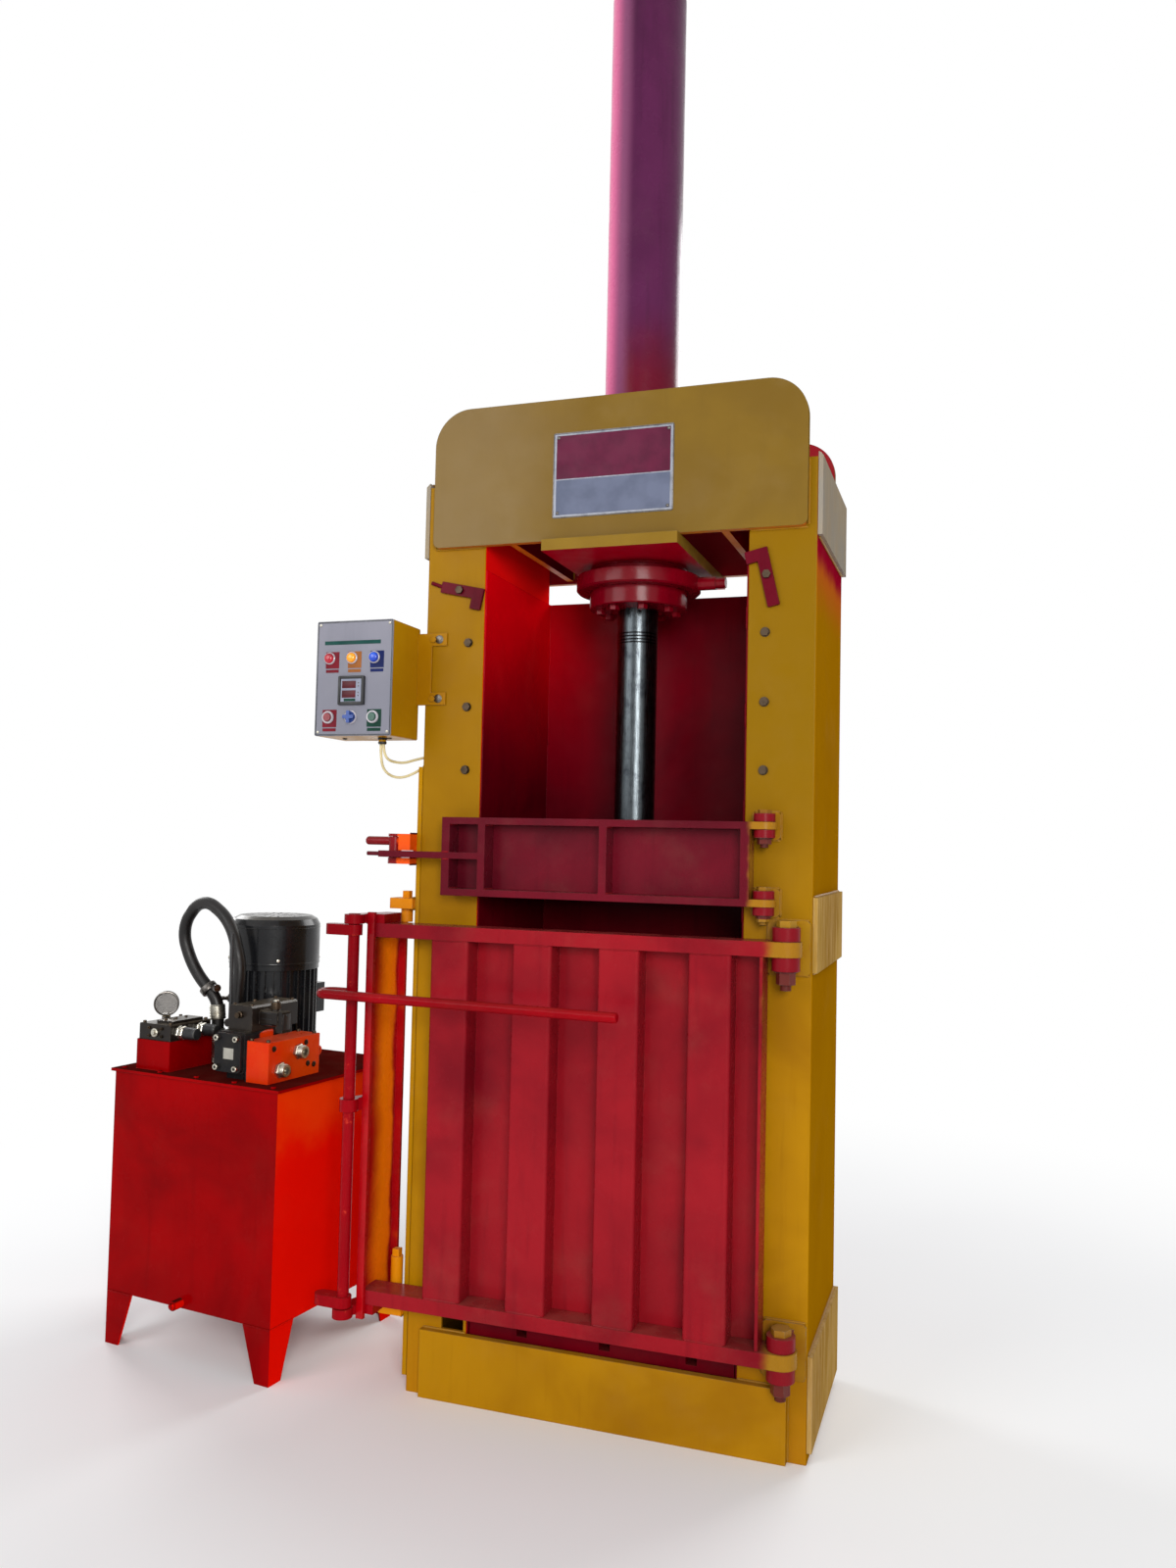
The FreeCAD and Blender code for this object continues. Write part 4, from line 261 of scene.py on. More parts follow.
def head_mask(g):
    """Red-brown nuts under the hinges, where the four bolt heads stay yellow."""
    total = 1.0
    for low, high in ((0.311, 0.328), (1.256, 1.273), (1.340, 1.350), (1.525, 1.535)):
        band = g.product(g.ramp(g.axis(2), low - 0.0005, low + 0.0005),
                         g.ramp(g.axis(2), high + 0.0005, high - 0.0005))
        total = g.math("SUBTRACT", total, band)
    return total


def ring_mask(g):
    """Four dark seal marks round the rod under the gland."""
    total = 0.0
    for z in (1.993, 2.001, 2.010, 2.019):
        band = g.math("COMPARE", g.axis(2), z)
        band.node.inputs[2].default_value = 0.0018
        total = g.math("ADD", total, band)
    return total


def streaks(g):
    """Pale upright streaks brushed into the joint plates."""
    return g.ramp(g.noise(46.0, 6.0, 0.75, stretch=(1.0, 1.0, 0.10)), 0.36, 0.68, 0.0, 0.62)


def eaves(low, high):
    """Mask maker for the columns' outer sides, from low up to high under the head's side plates."""
    def mask(g):
        outer = g.ramp(g.math("ABSOLUTE", g.axis(0)), 0.5215, 0.5225)
        return g.product(outer, g.ramp(g.drift(g.axis(2), 9.0, 0.06), low, high))
    return mask


def eaves_grey(g):
    """Chalky grey weathering on the head's own side plates."""
    return g.product(g.ramp(g.axis(2), 1.8, 1.9), g.ramp(g.noise(4.0, 4.0, 0.6), 0.2, 0.7, 0.55, 0.95))


def left_side(g):
    """The tall plate on the left column, in the columns' yellow."""
    return g.product(g.ramp(g.axis(0), -0.4, -0.5), g.ramp(g.axis(2), 1.9, 1.8))


def painted_side_shade(g):
    """Painted shade on the columns' side faces, a darker yellow than their fronts."""
    return g.ramp(g.facing(0), 0.4, 0.9, 0.0, 0.75)


def tank_sun(g):
    """Painted sunlight: bright red on the tank's right side, below the lid."""
    return g.product(g.ramp(g.normal(0), 0.5, 0.9), g.ramp(g.axis(2), 0.7650, 0.7635))


def tank_glow(g):
    """Painted sunlight: an orange patch down the middle of the tank's right side and under its lid."""
    patch = g.drift(g.axis(2), 5.0, 0.35, rough=0.6)
    return g.product(tank_sun(g), g.ramp(patch, 0.74, 0.94, 0.0, 0.7))


def painted_tube_sheen(low, high):
    """Mask maker for a paler painted reflection round the cylinder tube's left, from low to high across its
    face.
    """
    return lambda g: g.ramp(g.drift(g.normal(0), 6.0, 0.1, stretch=(1.0, 1.0, 0.2)), low, high, 0.0, 0.9)


def painted_top_shade(g):
    """Painted shade: faces that look up, darker."""
    return g.ramp(g.normal(2), 0.6, 0.9, 0.0, 0.9)


def chamber_glow(g):
    """Painted light: bright red high up on the left of the chamber's lining."""
    level = g.drift(g.axis(2), 3.0, 0.15, 3.0)
    cheek = g.ramp(g.facing(0), 0.4, 0.9, 0.5, 1.0)
    return g.product(cheek, g.product(g.ramp(level, 1.66, 2.42), g.ramp(g.axis(0), 0.0, -0.42)))


def painted_upper_shade(g):
    """Painted shade: duller, darker yellow on the upper fronts of the columns, stronger on the right one."""
    level = g.drift(g.axis(2), 4.0, 0.3, rough=0.6)
    face = g.ramp(g.facing(1), 0.5, 0.9)
    return g.product(face, g.product(g.ramp(level, 0.95, 1.95), g.ramp(g.axis(0), -0.4, 0.4, 0.5, 1.0)))


def pump_side(g):
    """The pump block's left part, black where the manifold on its right is orange."""
    return g.ramp(g.axis(0), -0.9995, -1.0005)


# ---------- looks
RED_BUSHES = border(1, 24.0, 0.006, -0.2485, -0.2535)  # in front of the yellow weld pads
BALE_LUGS = border(0, 20.0, 0.05, 0.442, 0.480, 0.0, 0.85)  # yellow on the bale door's hinge ends
FEED_LUGS = border(0, 20.0, 0.03, 0.388, 0.404, 0.0, 0.85)  # the same on the feed door
HEAD_DUST_AND_SHEEN = border(0, 3.0, 0.25, 0.10, -0.25, 0.15, 0.75, 0.6)  # chalky dust and a painted pale reflection, on the left part of the head
TUBE_FOOT = border(2, 12.0, 0.10, 2.99, 2.68)  # red overspray
LATCH_LUGS = border(0, 40.0, 0.02, -0.568, -0.560)  # fresh orange next to the column
FRAME_FOOT = border(2, 6.0, 0.5, 0.55, 0.25, 0.0, 0.22)  # orange tint low on the columns, stronger further down
YELLOW = (170, 120, 5)
YELLOW_DEEP = (146, 98, 2)
PRIMER = (92, 40, 30)
BARE = (120, 112, 100)
# base, deep and worn colour, then roughness, coat, dust, wear, gleam and the gleam of sides and tops
PAINTS = {
    "yellow": (YELLOW, YELLOW_DEEP, BARE, 0.34, 0.0, 0.06, 0.5, 0.06, 0.0),
    "sill": (YELLOW, YELLOW_DEEP, BARE, 0.34, 0.0, 0.08, 0.5, 0.08, 0.0),
    "weld": ((164, 116, 6), (134, 90, 4), BARE, 0.34, 0.0, 0.16),
    "keeper": ((226, 142, 8), (204, 120, 5), BARE, 0.34, 0.0, 0.16, 0.5, 0.08),
    # the head's plates: the columns' yellow, darker as painted shade
    "head": ((124, 94, 14), (108, 80, 9), BARE, 0.34, 0.0, 0.12, 0.5, 0.10, 0.0),
    "mount": ((146, 116, 42), (126, 96, 28), BARE, 0.34, 0.0, 0.16, 0.5, 0.06),
    "band": ((170, 134, 62), (140, 102, 34), BARE, 0.5, 0.0, 0.30, 0.5, 0.04, 0.0),
    "hinge": ((160, 118, 16), (138, 92, 12), BARE, 0.32, 0.08, 0.16, 0.8, 0.08),
    "pin": ((160, 118, 22), (128, 80, 18), BARE, 0.34, 0.08, 0.16, 0.8),
    "nut": ((96, 32, 30), (66, 22, 22), BARE, 0.36, 0.08, 0.16, 0.9),
    "liner": ((104, 0, 17), (74, 0, 12), PRIMER, 0.34, 0.0, 0.03, 0.5, 0.05, 0.0),
    "web": ((112, 0, 18), (82, 0, 12), PRIMER, 0.34, 0.0, 0.03, 0.5, 0.05, 0.0),
    "red": ((122, 1, 19), (92, 0, 15), PRIMER, 0.24, 0.10, 0.06),
    # the tube's dark red paint, turned purple by a painted blue sky reflection
    "maroon": ((84, 28, 68), (62, 18, 50), PRIMER, 0.24, 0.15, 0.05, 0.5, 0.08),
    "door": ((148, 22, 32), (112, 12, 24), PRIMER, 0.24, 0.04, 0.08, 0.5, 0.07),
    "feed_door": ((104, 13, 30), (78, 7, 22), PRIMER, 0.26, 0.05, 0.08, 0.5, 0.08),
    "channel": ((176, 4, 14), (128, 1, 12), PRIMER, 0.24, 0.20, 0.10),
    "lock": ((150, 2, 15), (118, 0, 10), PRIMER, 0.22, 0.02, 0.03, 0.5, 0.06),
    "catch": ((98, 5, 26), (68, 2, 18), PRIMER, 0.3, 0.0, 0.03, 0.5, 0.06),
    "latch": ((150, 8, 18), (112, 4, 14), PRIMER, 0.26, 0.08, 0.08),
    "tank": ((150, 0, 3), (116, 0, 3), PRIMER, 0.2, 0.0, 0.02, 0.3, 0.03, 0.0),
    "manifold": ((208, 34, 4), (206, 70, 4), PRIMER, 0.28, 0.05, 0.08, 0.5, 0.07),
    "box": ((190, 140, 12), (168, 118, 7), BARE, 0.3, 0.0, 0.10, 0.5, 0.08, 0.02),
    "panel": ((132, 131, 142), (118, 118, 129), BARE, 0.36, 0.10, 0.10),
    "motor": ((24, 25, 28), (12, 12, 14), (70, 66, 60), 0.26, 0.5, 0.10, 0.4),
    # dark cast metal, its warm brown tint a painted yellow reflection
    "cast": ((34, 27, 23), (16, 12, 10), (110, 100, 88), 0.34, 0.30, 0.16, 0.9),
}
OVERSPRAY_AND_PAINTED_LIGHT = {
    # yellow: painted shade on the columns' upper fronts and on their side faces
    "yellow": (((168, 92, 12), FRAME_FOOT), ((131, 95, 3), painted_upper_shade), ((150, 100, 2), painted_side_shade),
               ((176, 84, 24), eaves(2.02, 2.19)), ((140, 8, 34), eaves(2.15, 2.21))),
    # head: chalky dust and a painted pale reflection on its left part
    "head": (((124, 102, 66), HEAD_DUST_AND_SHEEN),),
    "band": (((190, 156, 104), streaks), (YELLOW, left_side), ((140, 135, 126), eaves_grey)),
    "hinge": (((120, 12, 24), RED_BUSHES),),
    "pin": (((94, 34, 28), head_mask),),
    # liner: painted light high on the left of the chamber's lining
    "liner": (((250, 0, 14), chamber_glow),),
    # painted reflection on the tube: a pink sheen down its left side and a paler haze beside it
    "maroon": (((104, 10, 34), TUBE_FOOT), ((134, 72, 108), painted_tube_sheen(0.02, -0.35)),
               ((244, 112, 164), painted_tube_sheen(-0.30, -0.78))),
    "door": (((152, 112, 22), BALE_LUGS),),
    "feed_door": (((160, 112, 22), FEED_LUGS),),
    "channel": (((255, 132, 6), channel_mask),),
    "lock": (((206, 60, 40), speck),),
    "latch": (((240, 84, 10), LATCH_LUGS),),
    "manifold": (((24, 24, 27), pump_side),),
    # tank: painted shade on its tops, painted sunlight and an orange painted glow on its right side
    "tank": (((64, 6, 6), painted_top_shade), ((226, 14, 2), tank_sun), ((232, 66, 4), tank_glow)),
}
UNDERSIDES = {"head": (186, 104, 30), "mount": (168, 0, 28), "web": (206, 116, 26)}
# the columns' inner faces are red paint brightened to (250, 0, 14) as painted light, like the chamber's
INSIDES = {"yellow": ((250, 0, 14), 0, 0.3549), "head": ((140, 2, 26), 1, 0.2424)}
# base and deep colour, then roughness, gleam and coat
PLASTICS = {
    "dark_trim": ((70, 72, 78), (44, 46, 50), 0.3),
    "bright_ring": ((186, 180, 186), (164, 158, 164), 0.25, 0.5, 0.2),
    "label_green": ((14, 66, 60), (10, 54, 50), 0.4, 0.12),
    "label_forest": ((12, 56, 44), (8, 44, 34), 0.4, 0.12),
    "label_red": ((112, 18, 34), (94, 12, 26), 0.4, 0.12),
    "label_amber": ((146, 88, 38), (124, 70, 26), 0.4, 0.12),
    "label_blue": ((10, 28, 88), (6, 20, 70), 0.4, 0.12),
    "window_red": ((84, 20, 30), (56, 12, 20), 0.3, 0.20),
    "meter_face": ((138, 142, 158), (118, 122, 138), 0.45, 0.20),
    "field_maroon": ((90, 20, 50), (76, 14, 42), 0.42, 0.15),
    "field_blue": ((98, 104, 125), (86, 92, 112), 0.42, 0.15),
    "ink": ((22, 22, 24), (12, 12, 14), 0.5),
    "black_plastic": ((26, 26, 28), (14, 14, 16), 0.42),
    "cable_sheath": ((222, 208, 160), (190, 172, 122), 0.45),
    "lamp_red": ((196, 4, 40), (150, 0, 28), 0.12, 0.5, 0.3),
    "lamp_amber": ((250, 158, 10), (226, 124, 4), 0.12, 0.5, 0.3),
    "lamp_blue": ((6, 84, 214), (4, 52, 168), 0.12, 0.5, 0.3),
    "button_red": ((138, 18, 34), (110, 10, 24), 0.26, 0.5, 0.1),
    "button_green": ((14, 74, 56), (8, 56, 42), 0.26, 0.5, 0.1),
    "knob_blue": ((22, 62, 138), (12, 42, 104), 0.3, 0.5, 0.1),
    "dial_face": ((198, 186, 180), (184, 172, 164), 0.5, 0.10),
    "bare_tag": ((168, 164, 154), (132, 130, 122), 0.4, 0.20),
}
M = {
    "hose_rubber": plastic("hose_rubber", (20, 16, 15), (10, 8, 7), 0.4, 0.35, grain=700.0),
    "bezel_steel": steel("gauge_bezel_steel", (102, 98, 94), (66, 62, 60), 0.3),
    "brass": steel("brass", (196, 164, 96), (150, 118, 62), 0.34),
    "zinc": steel("zinc_plate", (186, 182, 170), (130, 120, 100), 0.32),
    "dark_steel": steel("dark_steel", (74, 62, 50), (42, 36, 30), 0.42),
    # chrome darkened to a dull grey, standing for the dark surroundings it mirrors: a painted reflection
    "rod": steel("rod_chrome", (70, 75, 78), (40, 43, 48), 0.24, (30.0, 30.0, 0.6), ring_mask),
    "plate": steel("plate_metal", (128, 130, 138), (100, 102, 110), 0.42, (40.0, 1.0, 1.0)),
    "glass": clear_glass(),
}
for look, values in PAINTS.items():
    M[look] = paint(look + "_paint", *values, blend=OVERSPRAY_AND_PAINTED_LIGHT.get(look, ()), under=UNDERSIDES.get(look),
                    inside=INSIDES.get(look))
for look, values in PLASTICS.items():
    M[look] = plastic(look, *values)

CAD_LOOK = {
    "yellow": "left_column right_column",
    "sill": "sill_plates box_bracket",
    "keeper": "lock_keepers",
    "band": "side_plates",
    "head": "head_front_plate head_back_plate",
    "mount": "cylinder_mount_plate",
    "hinge": "hinge_brackets",
    "pin": "hinge_pins",
    "web": "head_webs",
    "liner": "base_frame chamber_floor chamber_walls",
    "red": "cylinder_flange rod_gland gland_bolts ram_platen",
    "catch": "left_catch right_catch",
    "latch": "latch_bracket latch_hook",
    "tank": "oil_tank tank_legs tank_lid",
    "door": "bale_door_bars bale_door_panel",
    "feed_door": "feed_door_frame feed_door_sheet",
    "channel": "bale_door_end_channel",
    "lock": "lock_arms lock_shaft lock_handle",
    "maroon": "cylinder_tube",
    "box": "control_box",
    "panel": "control_panel",
    "motor": "motor_body motor_cowl",
    "cast": "left_valve valve_stack tank_pump",
    "manifold": "pump_block",
    "zinc": "pipe_fittings",
    "bezel_steel": "pressure_gauge",
    "dark_steel": "column_bolts ram_piston",
    "rod": "ram_rod",
    "plate": "name_plate",
    "black_plastic": "panel_meter gauge_needle motor_fan hand_lever pilot_lamps",
    "hose_rubber": "suction_hose",
    "cable_sheath": "upper_cable lower_cable",
    "button_red": "stop_button",
    "button_green": "start_button",
    "knob_blue": "selector_knob",
}
for look, names in CAD_LOOK.items():
    for name in names.split():
        slots = N[name].data.materials
        slots.clear()
        slots.append(M[look])


# ---------- camera and light
# the photo's camera: yaw, pitch and roll in degrees, place in metres, focal length in photo pixels
CAMERA_TURN = (18.809, 2.771, 1.240)
CAMERA_PLACE = (0.9293, -3.1259, 1.4488)
FOCAL_PIXELS = 1214.93
PHOTO_PIXELS = 1600.0
SENSOR = 36.0  # millimetres
FLOOR_REACH = 30.0  # half the side of the floor


def frame_to(origin, axis, spin=0.0):
    """Matrix whose Z lies along axis at origin."""
    turn = Vector(axis).normalized().to_track_quat("Z", "Y").to_matrix().to_4x4()
    return Matrix.Translation(origin) @ turn @ Matrix.Rotation(radians(spin), 4, "Z")


def axes(right, up, out, origin):
    """Matrix with the given axes and origin."""
    return Matrix([(right[i], up[i], out[i], origin[i]) for i in range(3)] + [(0.0, 0.0, 0.0, 1.0)])


def add_object(name, data):
    ob = bpy.data.objects.new(name, data)
    SCENE.collection.objects.link(ob)
    return ob


def place_camera():
    """Camera of the photo, with the picture rolled a little."""
    yaw, pitch, roll = (radians(v) for v in CAMERA_TURN)
    ahead = Vector((-sin(yaw) * cos(pitch), cos(yaw) * cos(pitch), sin(pitch)))
    side = Vector((cos(yaw), sin(yaw), 0.0))
    up = side.cross(ahead)
    right = side * cos(roll) + up * sin(roll)
    top = up * cos(roll) - side * sin(roll)
    cam = add_object("view_camera", bpy.data.cameras.new("view_camera"))
    cam.matrix_world = axes(right, top, -ahead, CAMERA_PLACE)
    cam.data.sensor_width = SENSOR
    cam.data.lens = FOCAL_PIXELS * SENSOR / PHOTO_PIXELS
    cam.data.clip_end = 60.0
    SCENE.camera = cam


def area(name, place, target, size, power, color=(1.0, 1.0, 1.0)):
    """Oblong lamp at place, turned to target."""
    lamp = bpy.data.lights.new(name, "AREA")
    lamp.shape = "RECTANGLE"
    lamp.size, lamp.size_y = size
    lamp.energy = power
    lamp.color = color
    add_object(name, lamp).matrix_world = frame_to(place, Vector(place) - Vector(target))


def seen_directly(tree):
    """1 for camera, glossy and transmission rays."""
    path = tree.nodes.new("ShaderNodeLightPath")
    result = path.outputs["Is Camera Ray"]
    for name in ("Is Glossy Ray", "Is Transmission Ray"):
        both = tree.nodes.new("ShaderNodeMath")
        both.operation = "MAXIMUM"
        tree.links.new(result, both.inputs[0])
        tree.links.new(path.outputs[name], both.inputs[1])
        result = both.outputs[0]
    return result


def background(tree, color, strength):
    """World light of one colour."""
    node = tree.nodes.new("ShaderNodeBackground")
    node.inputs["Color"].default_value = color
    node.inputs["Strength"].default_value = strength
    return node.outputs[0]


def studio():
    """Soft even light from the world and four lamps, before a plain white surrounding."""
    world = bpy.data.worlds.new("studio")
    SCENE.world = world
    world.use_nodes = True
    tree = world.node_tree
    tree.nodes.clear()
    soft = background(tree, (0.93, 0.96, 1.0, 1.0), 0.40)
    plain = background(tree, (1.0, 1.0, 1.0, 1.0), BACKDROP)
    pick = tree.nodes.new("ShaderNodeMixShader")
    for index, value in enumerate((seen_directly(tree), soft, plain)):
        tree.links.new(value, pick.inputs[index])
    tree.links.new(pick.outputs[0], tree.nodes.new("ShaderNodeOutputWorld").inputs["Surface"])
    area("key", (2.8, -6.4, 2.8), (-0.4, 0.0, 1.0), (2.4, 2.4), 320.0, (1.0, 0.985, 0.96))
    area("front", (-2.8, -4.8, 3.4), (-0.3, 0.0, 1.3), (3.0, 2.6), 90.0, (0.97, 0.985, 1.0))
    area("back", (1.6, 3.8, 4.2), (0.0, 0.0, 1.6), (3.0, 2.0), 120.0)
    area("left_edge", (-4.2, 1.8, 2.4), (-0.9, 0.0, 1.0), (1.4, 3.0), 60.0)
    SCENE.view_settings.view_transform = "Standard"


def pale_floor():
    """Pale floor that keeps the shadow near the object and fades into the backdrop far away."""
    g = Graph("floor_pale")
    diffuse = g.add("ShaderNodeBsdfDiffuse")
    g.fill(diffuse, Color=g.mix(g.ramp(g.noise(0.6, 2.0), 0.3, 0.7), (0.93, 0.93, 0.93, 1.0),
                                (0.90, 0.90, 0.90, 1.0)))
    glow = g.add("ShaderNodeEmission")
    g.fill(glow, Strength=BACKDROP)
    length = g.add("ShaderNodeVectorMath", operation="LENGTH")
    g.put(length.inputs[0], g.coord)
    fade = g.product(g.ramp(length.outputs["Value"], 1.3, 3.6), seen_directly(g.tree))
    mesh = bpy.data.meshes.new("floor")
    corners = [(x * FLOOR_REACH, y * FLOOR_REACH, 0.0) for x, y in ((-1, -1), (1, -1), (1, 1), (-1, 1))]
    mesh.from_pydata(corners, [], [(0, 1, 2, 3)])
    mesh.materials.append(g.blended(fade, diffuse, glow))
    add_object("floor", mesh)


place_camera()
studio()
pale_floor()


# ---------- control cables
CABLE_D = 0.007
UPPER_CABLE = [(-600, -322, 1696), (-600, -322, 1656), (-572, -272, 1646), (-547, -236, 1660),
               (-526, -205, 1670)]
LOWER_CABLE = [(-608, -322, 1696), (-608, -322, 1652), (-603, -300, 1618), (-580, -262, 1606),
               (-547, -222, 1628), (-526, -196, 1652)]


def control_cable(name, node, points):
    """Cream control cable as one smooth spline that replaces its CAD tube."""
    curve = bpy.data.curves.new(name, "CURVE")
    curve.dimensions = "3D"
    curve.bevel_depth = CABLE_D / 2
    curve.bevel_resolution = 5
    curve.resolution_u = 12
    curve.use_fill_caps = True
    spline = curve.splines.new("NURBS")
    spline.points.add(len(points) - 1)
    for point, place in zip(spline.points, points):
        point.co = (place[0] * MM, place[1] * MM, place[2] * MM, 1.0)
    spline.order_u = 3
    spline.use_endpoint_u = True
    curve.materials.append(M["cable_sheath"])
    ob = add_object(name, curve)
    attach(ob, "press_frame")
    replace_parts(ob, node)


control_cable("upper_cable_run", "upper_cable", UPPER_CABLE)
control_cable("lower_cable_run", "lower_cable", LOWER_CABLE)


# ---------- pieces and their forms
def form(build):
    """Let a form be named first, with sizes in millimetres, and built into its piece's mesh later."""
    def named(*sizes, **more):
        return lambda bm: build(bm, *sizes, **more)
    return named


def mm(x, y, z):
    """Metres from millimetres."""
    return Vector((x, y, z)) * MM


def at(x, y, z):
    """Matrix at a place in millimetres."""
    return Matrix.Translation(mm(x, y, z))


def towards(axis, x, y, z, spin=0.0):
    """Matrix at a place in millimetres, with its Z along axis."""
    return frame_to(mm(x, y, z), axis, spin)


def turned(degrees):
    """Turn about Z."""
    return Matrix.Rotation(radians(degrees), 4, "Z")


def angles(count):
    """Angles of even steps round a circle."""
    return [2.0 * pi * k / count for k in range(count)]


def piece(name, look, *forms, body="press_frame", local=False):
    """Build forms into one piece that rides on a body; local ones are in the power pack's frame."""
    bm = bmesh.new()
    for build in forms:
        build(bm)
    if local:
        bmesh.ops.transform(bm, matrix=PACK, verts=bm.verts)
    bmesh.ops.recalc_face_normals(bm, faces=bm.faces)
    mesh = bpy.data.meshes.new(name)
    bm.to_mesh(mesh)
    bm.free()
    mesh.shade_smooth()
    mesh.set_sharp_from_angle(angle=SHARP_ANGLE)
    mesh.materials.append(M[look])
    ob = add_object(name, mesh)
    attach(ob, body)
    return ob


def packed(name, look, *forms):
    """Piece of the power pack, in its own frame."""
    return piece(name, look, *forms, local=True)


@form
def lathe(bm, profile, matrix, steps):
    """Turned form from (radius, height) pairs about the matrix's Z."""
    rings = []
    for radius, height in profile:
        around = angles(steps) if radius else [0.0]
        rings.append([bm.verts.new(matrix @ mm(radius * cos(a), radius * sin(a), height))
                      for a in around])
    for low, high in zip(rings, rings[1:]):
        for i in range(steps):
            j = (i + 1) % steps
            corners = [low[i % len(low)], low[j % len(low)], high[j % len(high)], high[i % len(high)]]
            unique = list(dict.fromkeys(corners))
            if len(unique) > 2:
                bm.faces.new(unique)
    for end in (rings[0][::-1], rings[-1]):
        if len(end) > 1:
            bm.faces.new(end)


def disc(radius, low, high, matrix, steps):
    """Flat round."""
    return lathe([(0, low), (radius, low), (radius, high), (0, high)], matrix, steps)


@form
def slab(bm, size, matrix, bevel=0.0, segments=2):
    """Box centred on the matrix with rounded edges."""
    verts = bmesh.ops.create_cube(bm, size=1.0)["verts"]
    for v in verts:
        v.co = mm(v.co.x * size[0], v.co.y * size[1], v.co.z * size[2])
    if bevel:
        edges = list({e for v in verts for e in v.link_edges})
        done = bmesh.ops.bevel(bm, geom=edges, offset=bevel * MM, segments=segments, affect="EDGES",
                               profile=0.5)
        verts = list({v for f in done["faces"] for v in f.verts} | {v for v in verts if v.is_valid})
    bmesh.ops.transform(bm, matrix=matrix, verts=verts)


def hexhead(matrix, flats, height):
    """Hex head with a chamfer on its top."""
    r = flats / sqrt(3.0)
    return lathe([(r, 0), (r, height * 0.82), (r * 0.90, height)], matrix, 6)


def socket_screw(matrix, radius, height):
    """Socket cap screw with a hollow."""
    return lathe([(radius, 0), (radius, height * 0.85), (radius * 0.9, height), (radius * 0.52, height),
                  (radius * 0.48, height * 0.4), (0, height * 0.4)], matrix, 28)


def round_screw(matrix, radius, height):
    """Pan head screw with a small hollow."""
    return lathe([(radius, 0), (radius, height * 0.4), (radius * 0.8, height * 0.85),
                  (radius * 0.45, height), (radius * 0.30, height), (radius * 0.16, height * 0.45),
                  (0, height * 0.40)], matrix, 20)


def thread(x, y, z0, z1, radius, pitch):
    """Threaded bolt end as a stack of ridges."""
    profile = [(0, z0), (radius * 0.8, z0)]
    z = z0 + pitch * 0.6
    while z < z1:
        profile += [(radius, z), (radius * 0.9, z + pitch / 2)]
        z += pitch
    return lathe(profile + [(radius * 0.9, z1)], at(x, y, 0), 24)


def skin(bm, rings):
    """Join each ring of corners to the next."""
    for low, high in zip(rings, rings[1:]):
        for i in range(len(low)):
            j = (i + 1) % len(low)
            bm.faces.new((low[i], low[j], high[j], high[i]))


@form
def hoop(bm, matrix, radius, thick, sides):
    """Ring of round bar about the matrix's Z, with its bar's radius at each step round it."""
    rings = []
    for a, bar in zip(angles(len(thick)), thick):
        rings.append([bm.verts.new(matrix @ mm((radius + bar * cos(t)) * cos(a),
                                               (radius + bar * cos(t)) * sin(a),
                                               bar * sin(t))) for t in angles(sides)])
    skin(bm, rings + rings[:1])


BEAD_STEP = 0.0045  # length of one ripple


@form
def bead(bm, a, b, radius, seed):
    """Weld bead between two points, rippled along its run."""
    rng = random.Random(seed)
    a = mm(*a)
    run = mm(*b) - a
    count = max(3, int(run.length / BEAD_STEP))
    turn = run.normalized().to_track_quat("Z", "Y").to_matrix()
    rings = []
    for k in range(count + 1):
        swell = radius * (0.86 + 0.22 * (k % 2) + 0.12 * rng.random())
        if k in (0, count):
            swell *= 0.4
        centre = a + run * (k / count)
        rings.append([bm.verts.new(centre + turn @ mm(swell * cos(t), swell * sin(t), 0))
                      for t in angles(6)])
    skin(bm, rings)
    bm.faces.new(rings[0][::-1])
    bm.faces.new(rings[-1])


def beads(name, look, runs, radius, **where):
    """Piece of weld beads along runs."""
    piece(name, look, *[bead(a, b, radius, seed) for seed, (a, b) in enumerate(runs)], **where)


def across(x0, x1, y, z):
    """Run from side to side."""
    return (x0, y, z), (x1, y, z)


def inward(x, y0, y1, z):
    """Run from front to back."""
    return (x, y0, z), (x, y1, z)


def upright(x, y, z0, z1):
    """Run from low to high."""
    return (x, y, z0), (x, y, z1)


# ---------- welds on the frame and the doors
def frame_welds():
    runs = []
    for side in (-1, 1):
        for y in (-243, 243):
            runs += [across(side * 355, side * 477, y, 173), across(side * 358, side * 500, y, 2227),
                     upright(side * 502, y, 2232, 2399), upright(side * 478.5, y, 4, 170)]
        runs += [inward(side * 524.5, -226, 226, z) for z in (2206, 2413)]
    runs += [inward(524.5, -238, 238, z) for z in (1145, 1327, 27, 251)]
    runs += [inward(-524.5, -238, 238, z) for z in (39, 1641)]
    runs += [upright(x, y, 2240, 2538) for x in (-299.5, -276.5, 276.5, 299.5) for y in (-240.5, 240.5)]
    for z in (194, 1139):
        runs += [across(418, 518, -243.5, z), upright(415, -243.5, z + 2, z + 130),
                 across(418, 518, -243.5, z + 132)]
    runs += [across(378, 443, -243.5, z) for z in (1276, 1346, 1461, 1531)]
    runs += [upright(x, -243.5, z, z + 68) for x in (375.5, 445.5) for z in (1277, 1462)]
    runs += [inward(-536.5, -256, -200, z) for z in (194, 216, 1258, 1288)]
    beads("frame_weld_beads", "weld", runs, 3.2)
    runs = [inward(-536.5, -279, -231, z) for z in (1378, 1396, 1460)]
    for side in (-1, 1):
        for z in range(300, 2220, 240):
            runs += [upright(side * 351.5, -239, z, z + 60), upright(side * 348, 240, z, z + 50)]
    beads("liner_weld_beads", "liner", runs, 2.6)


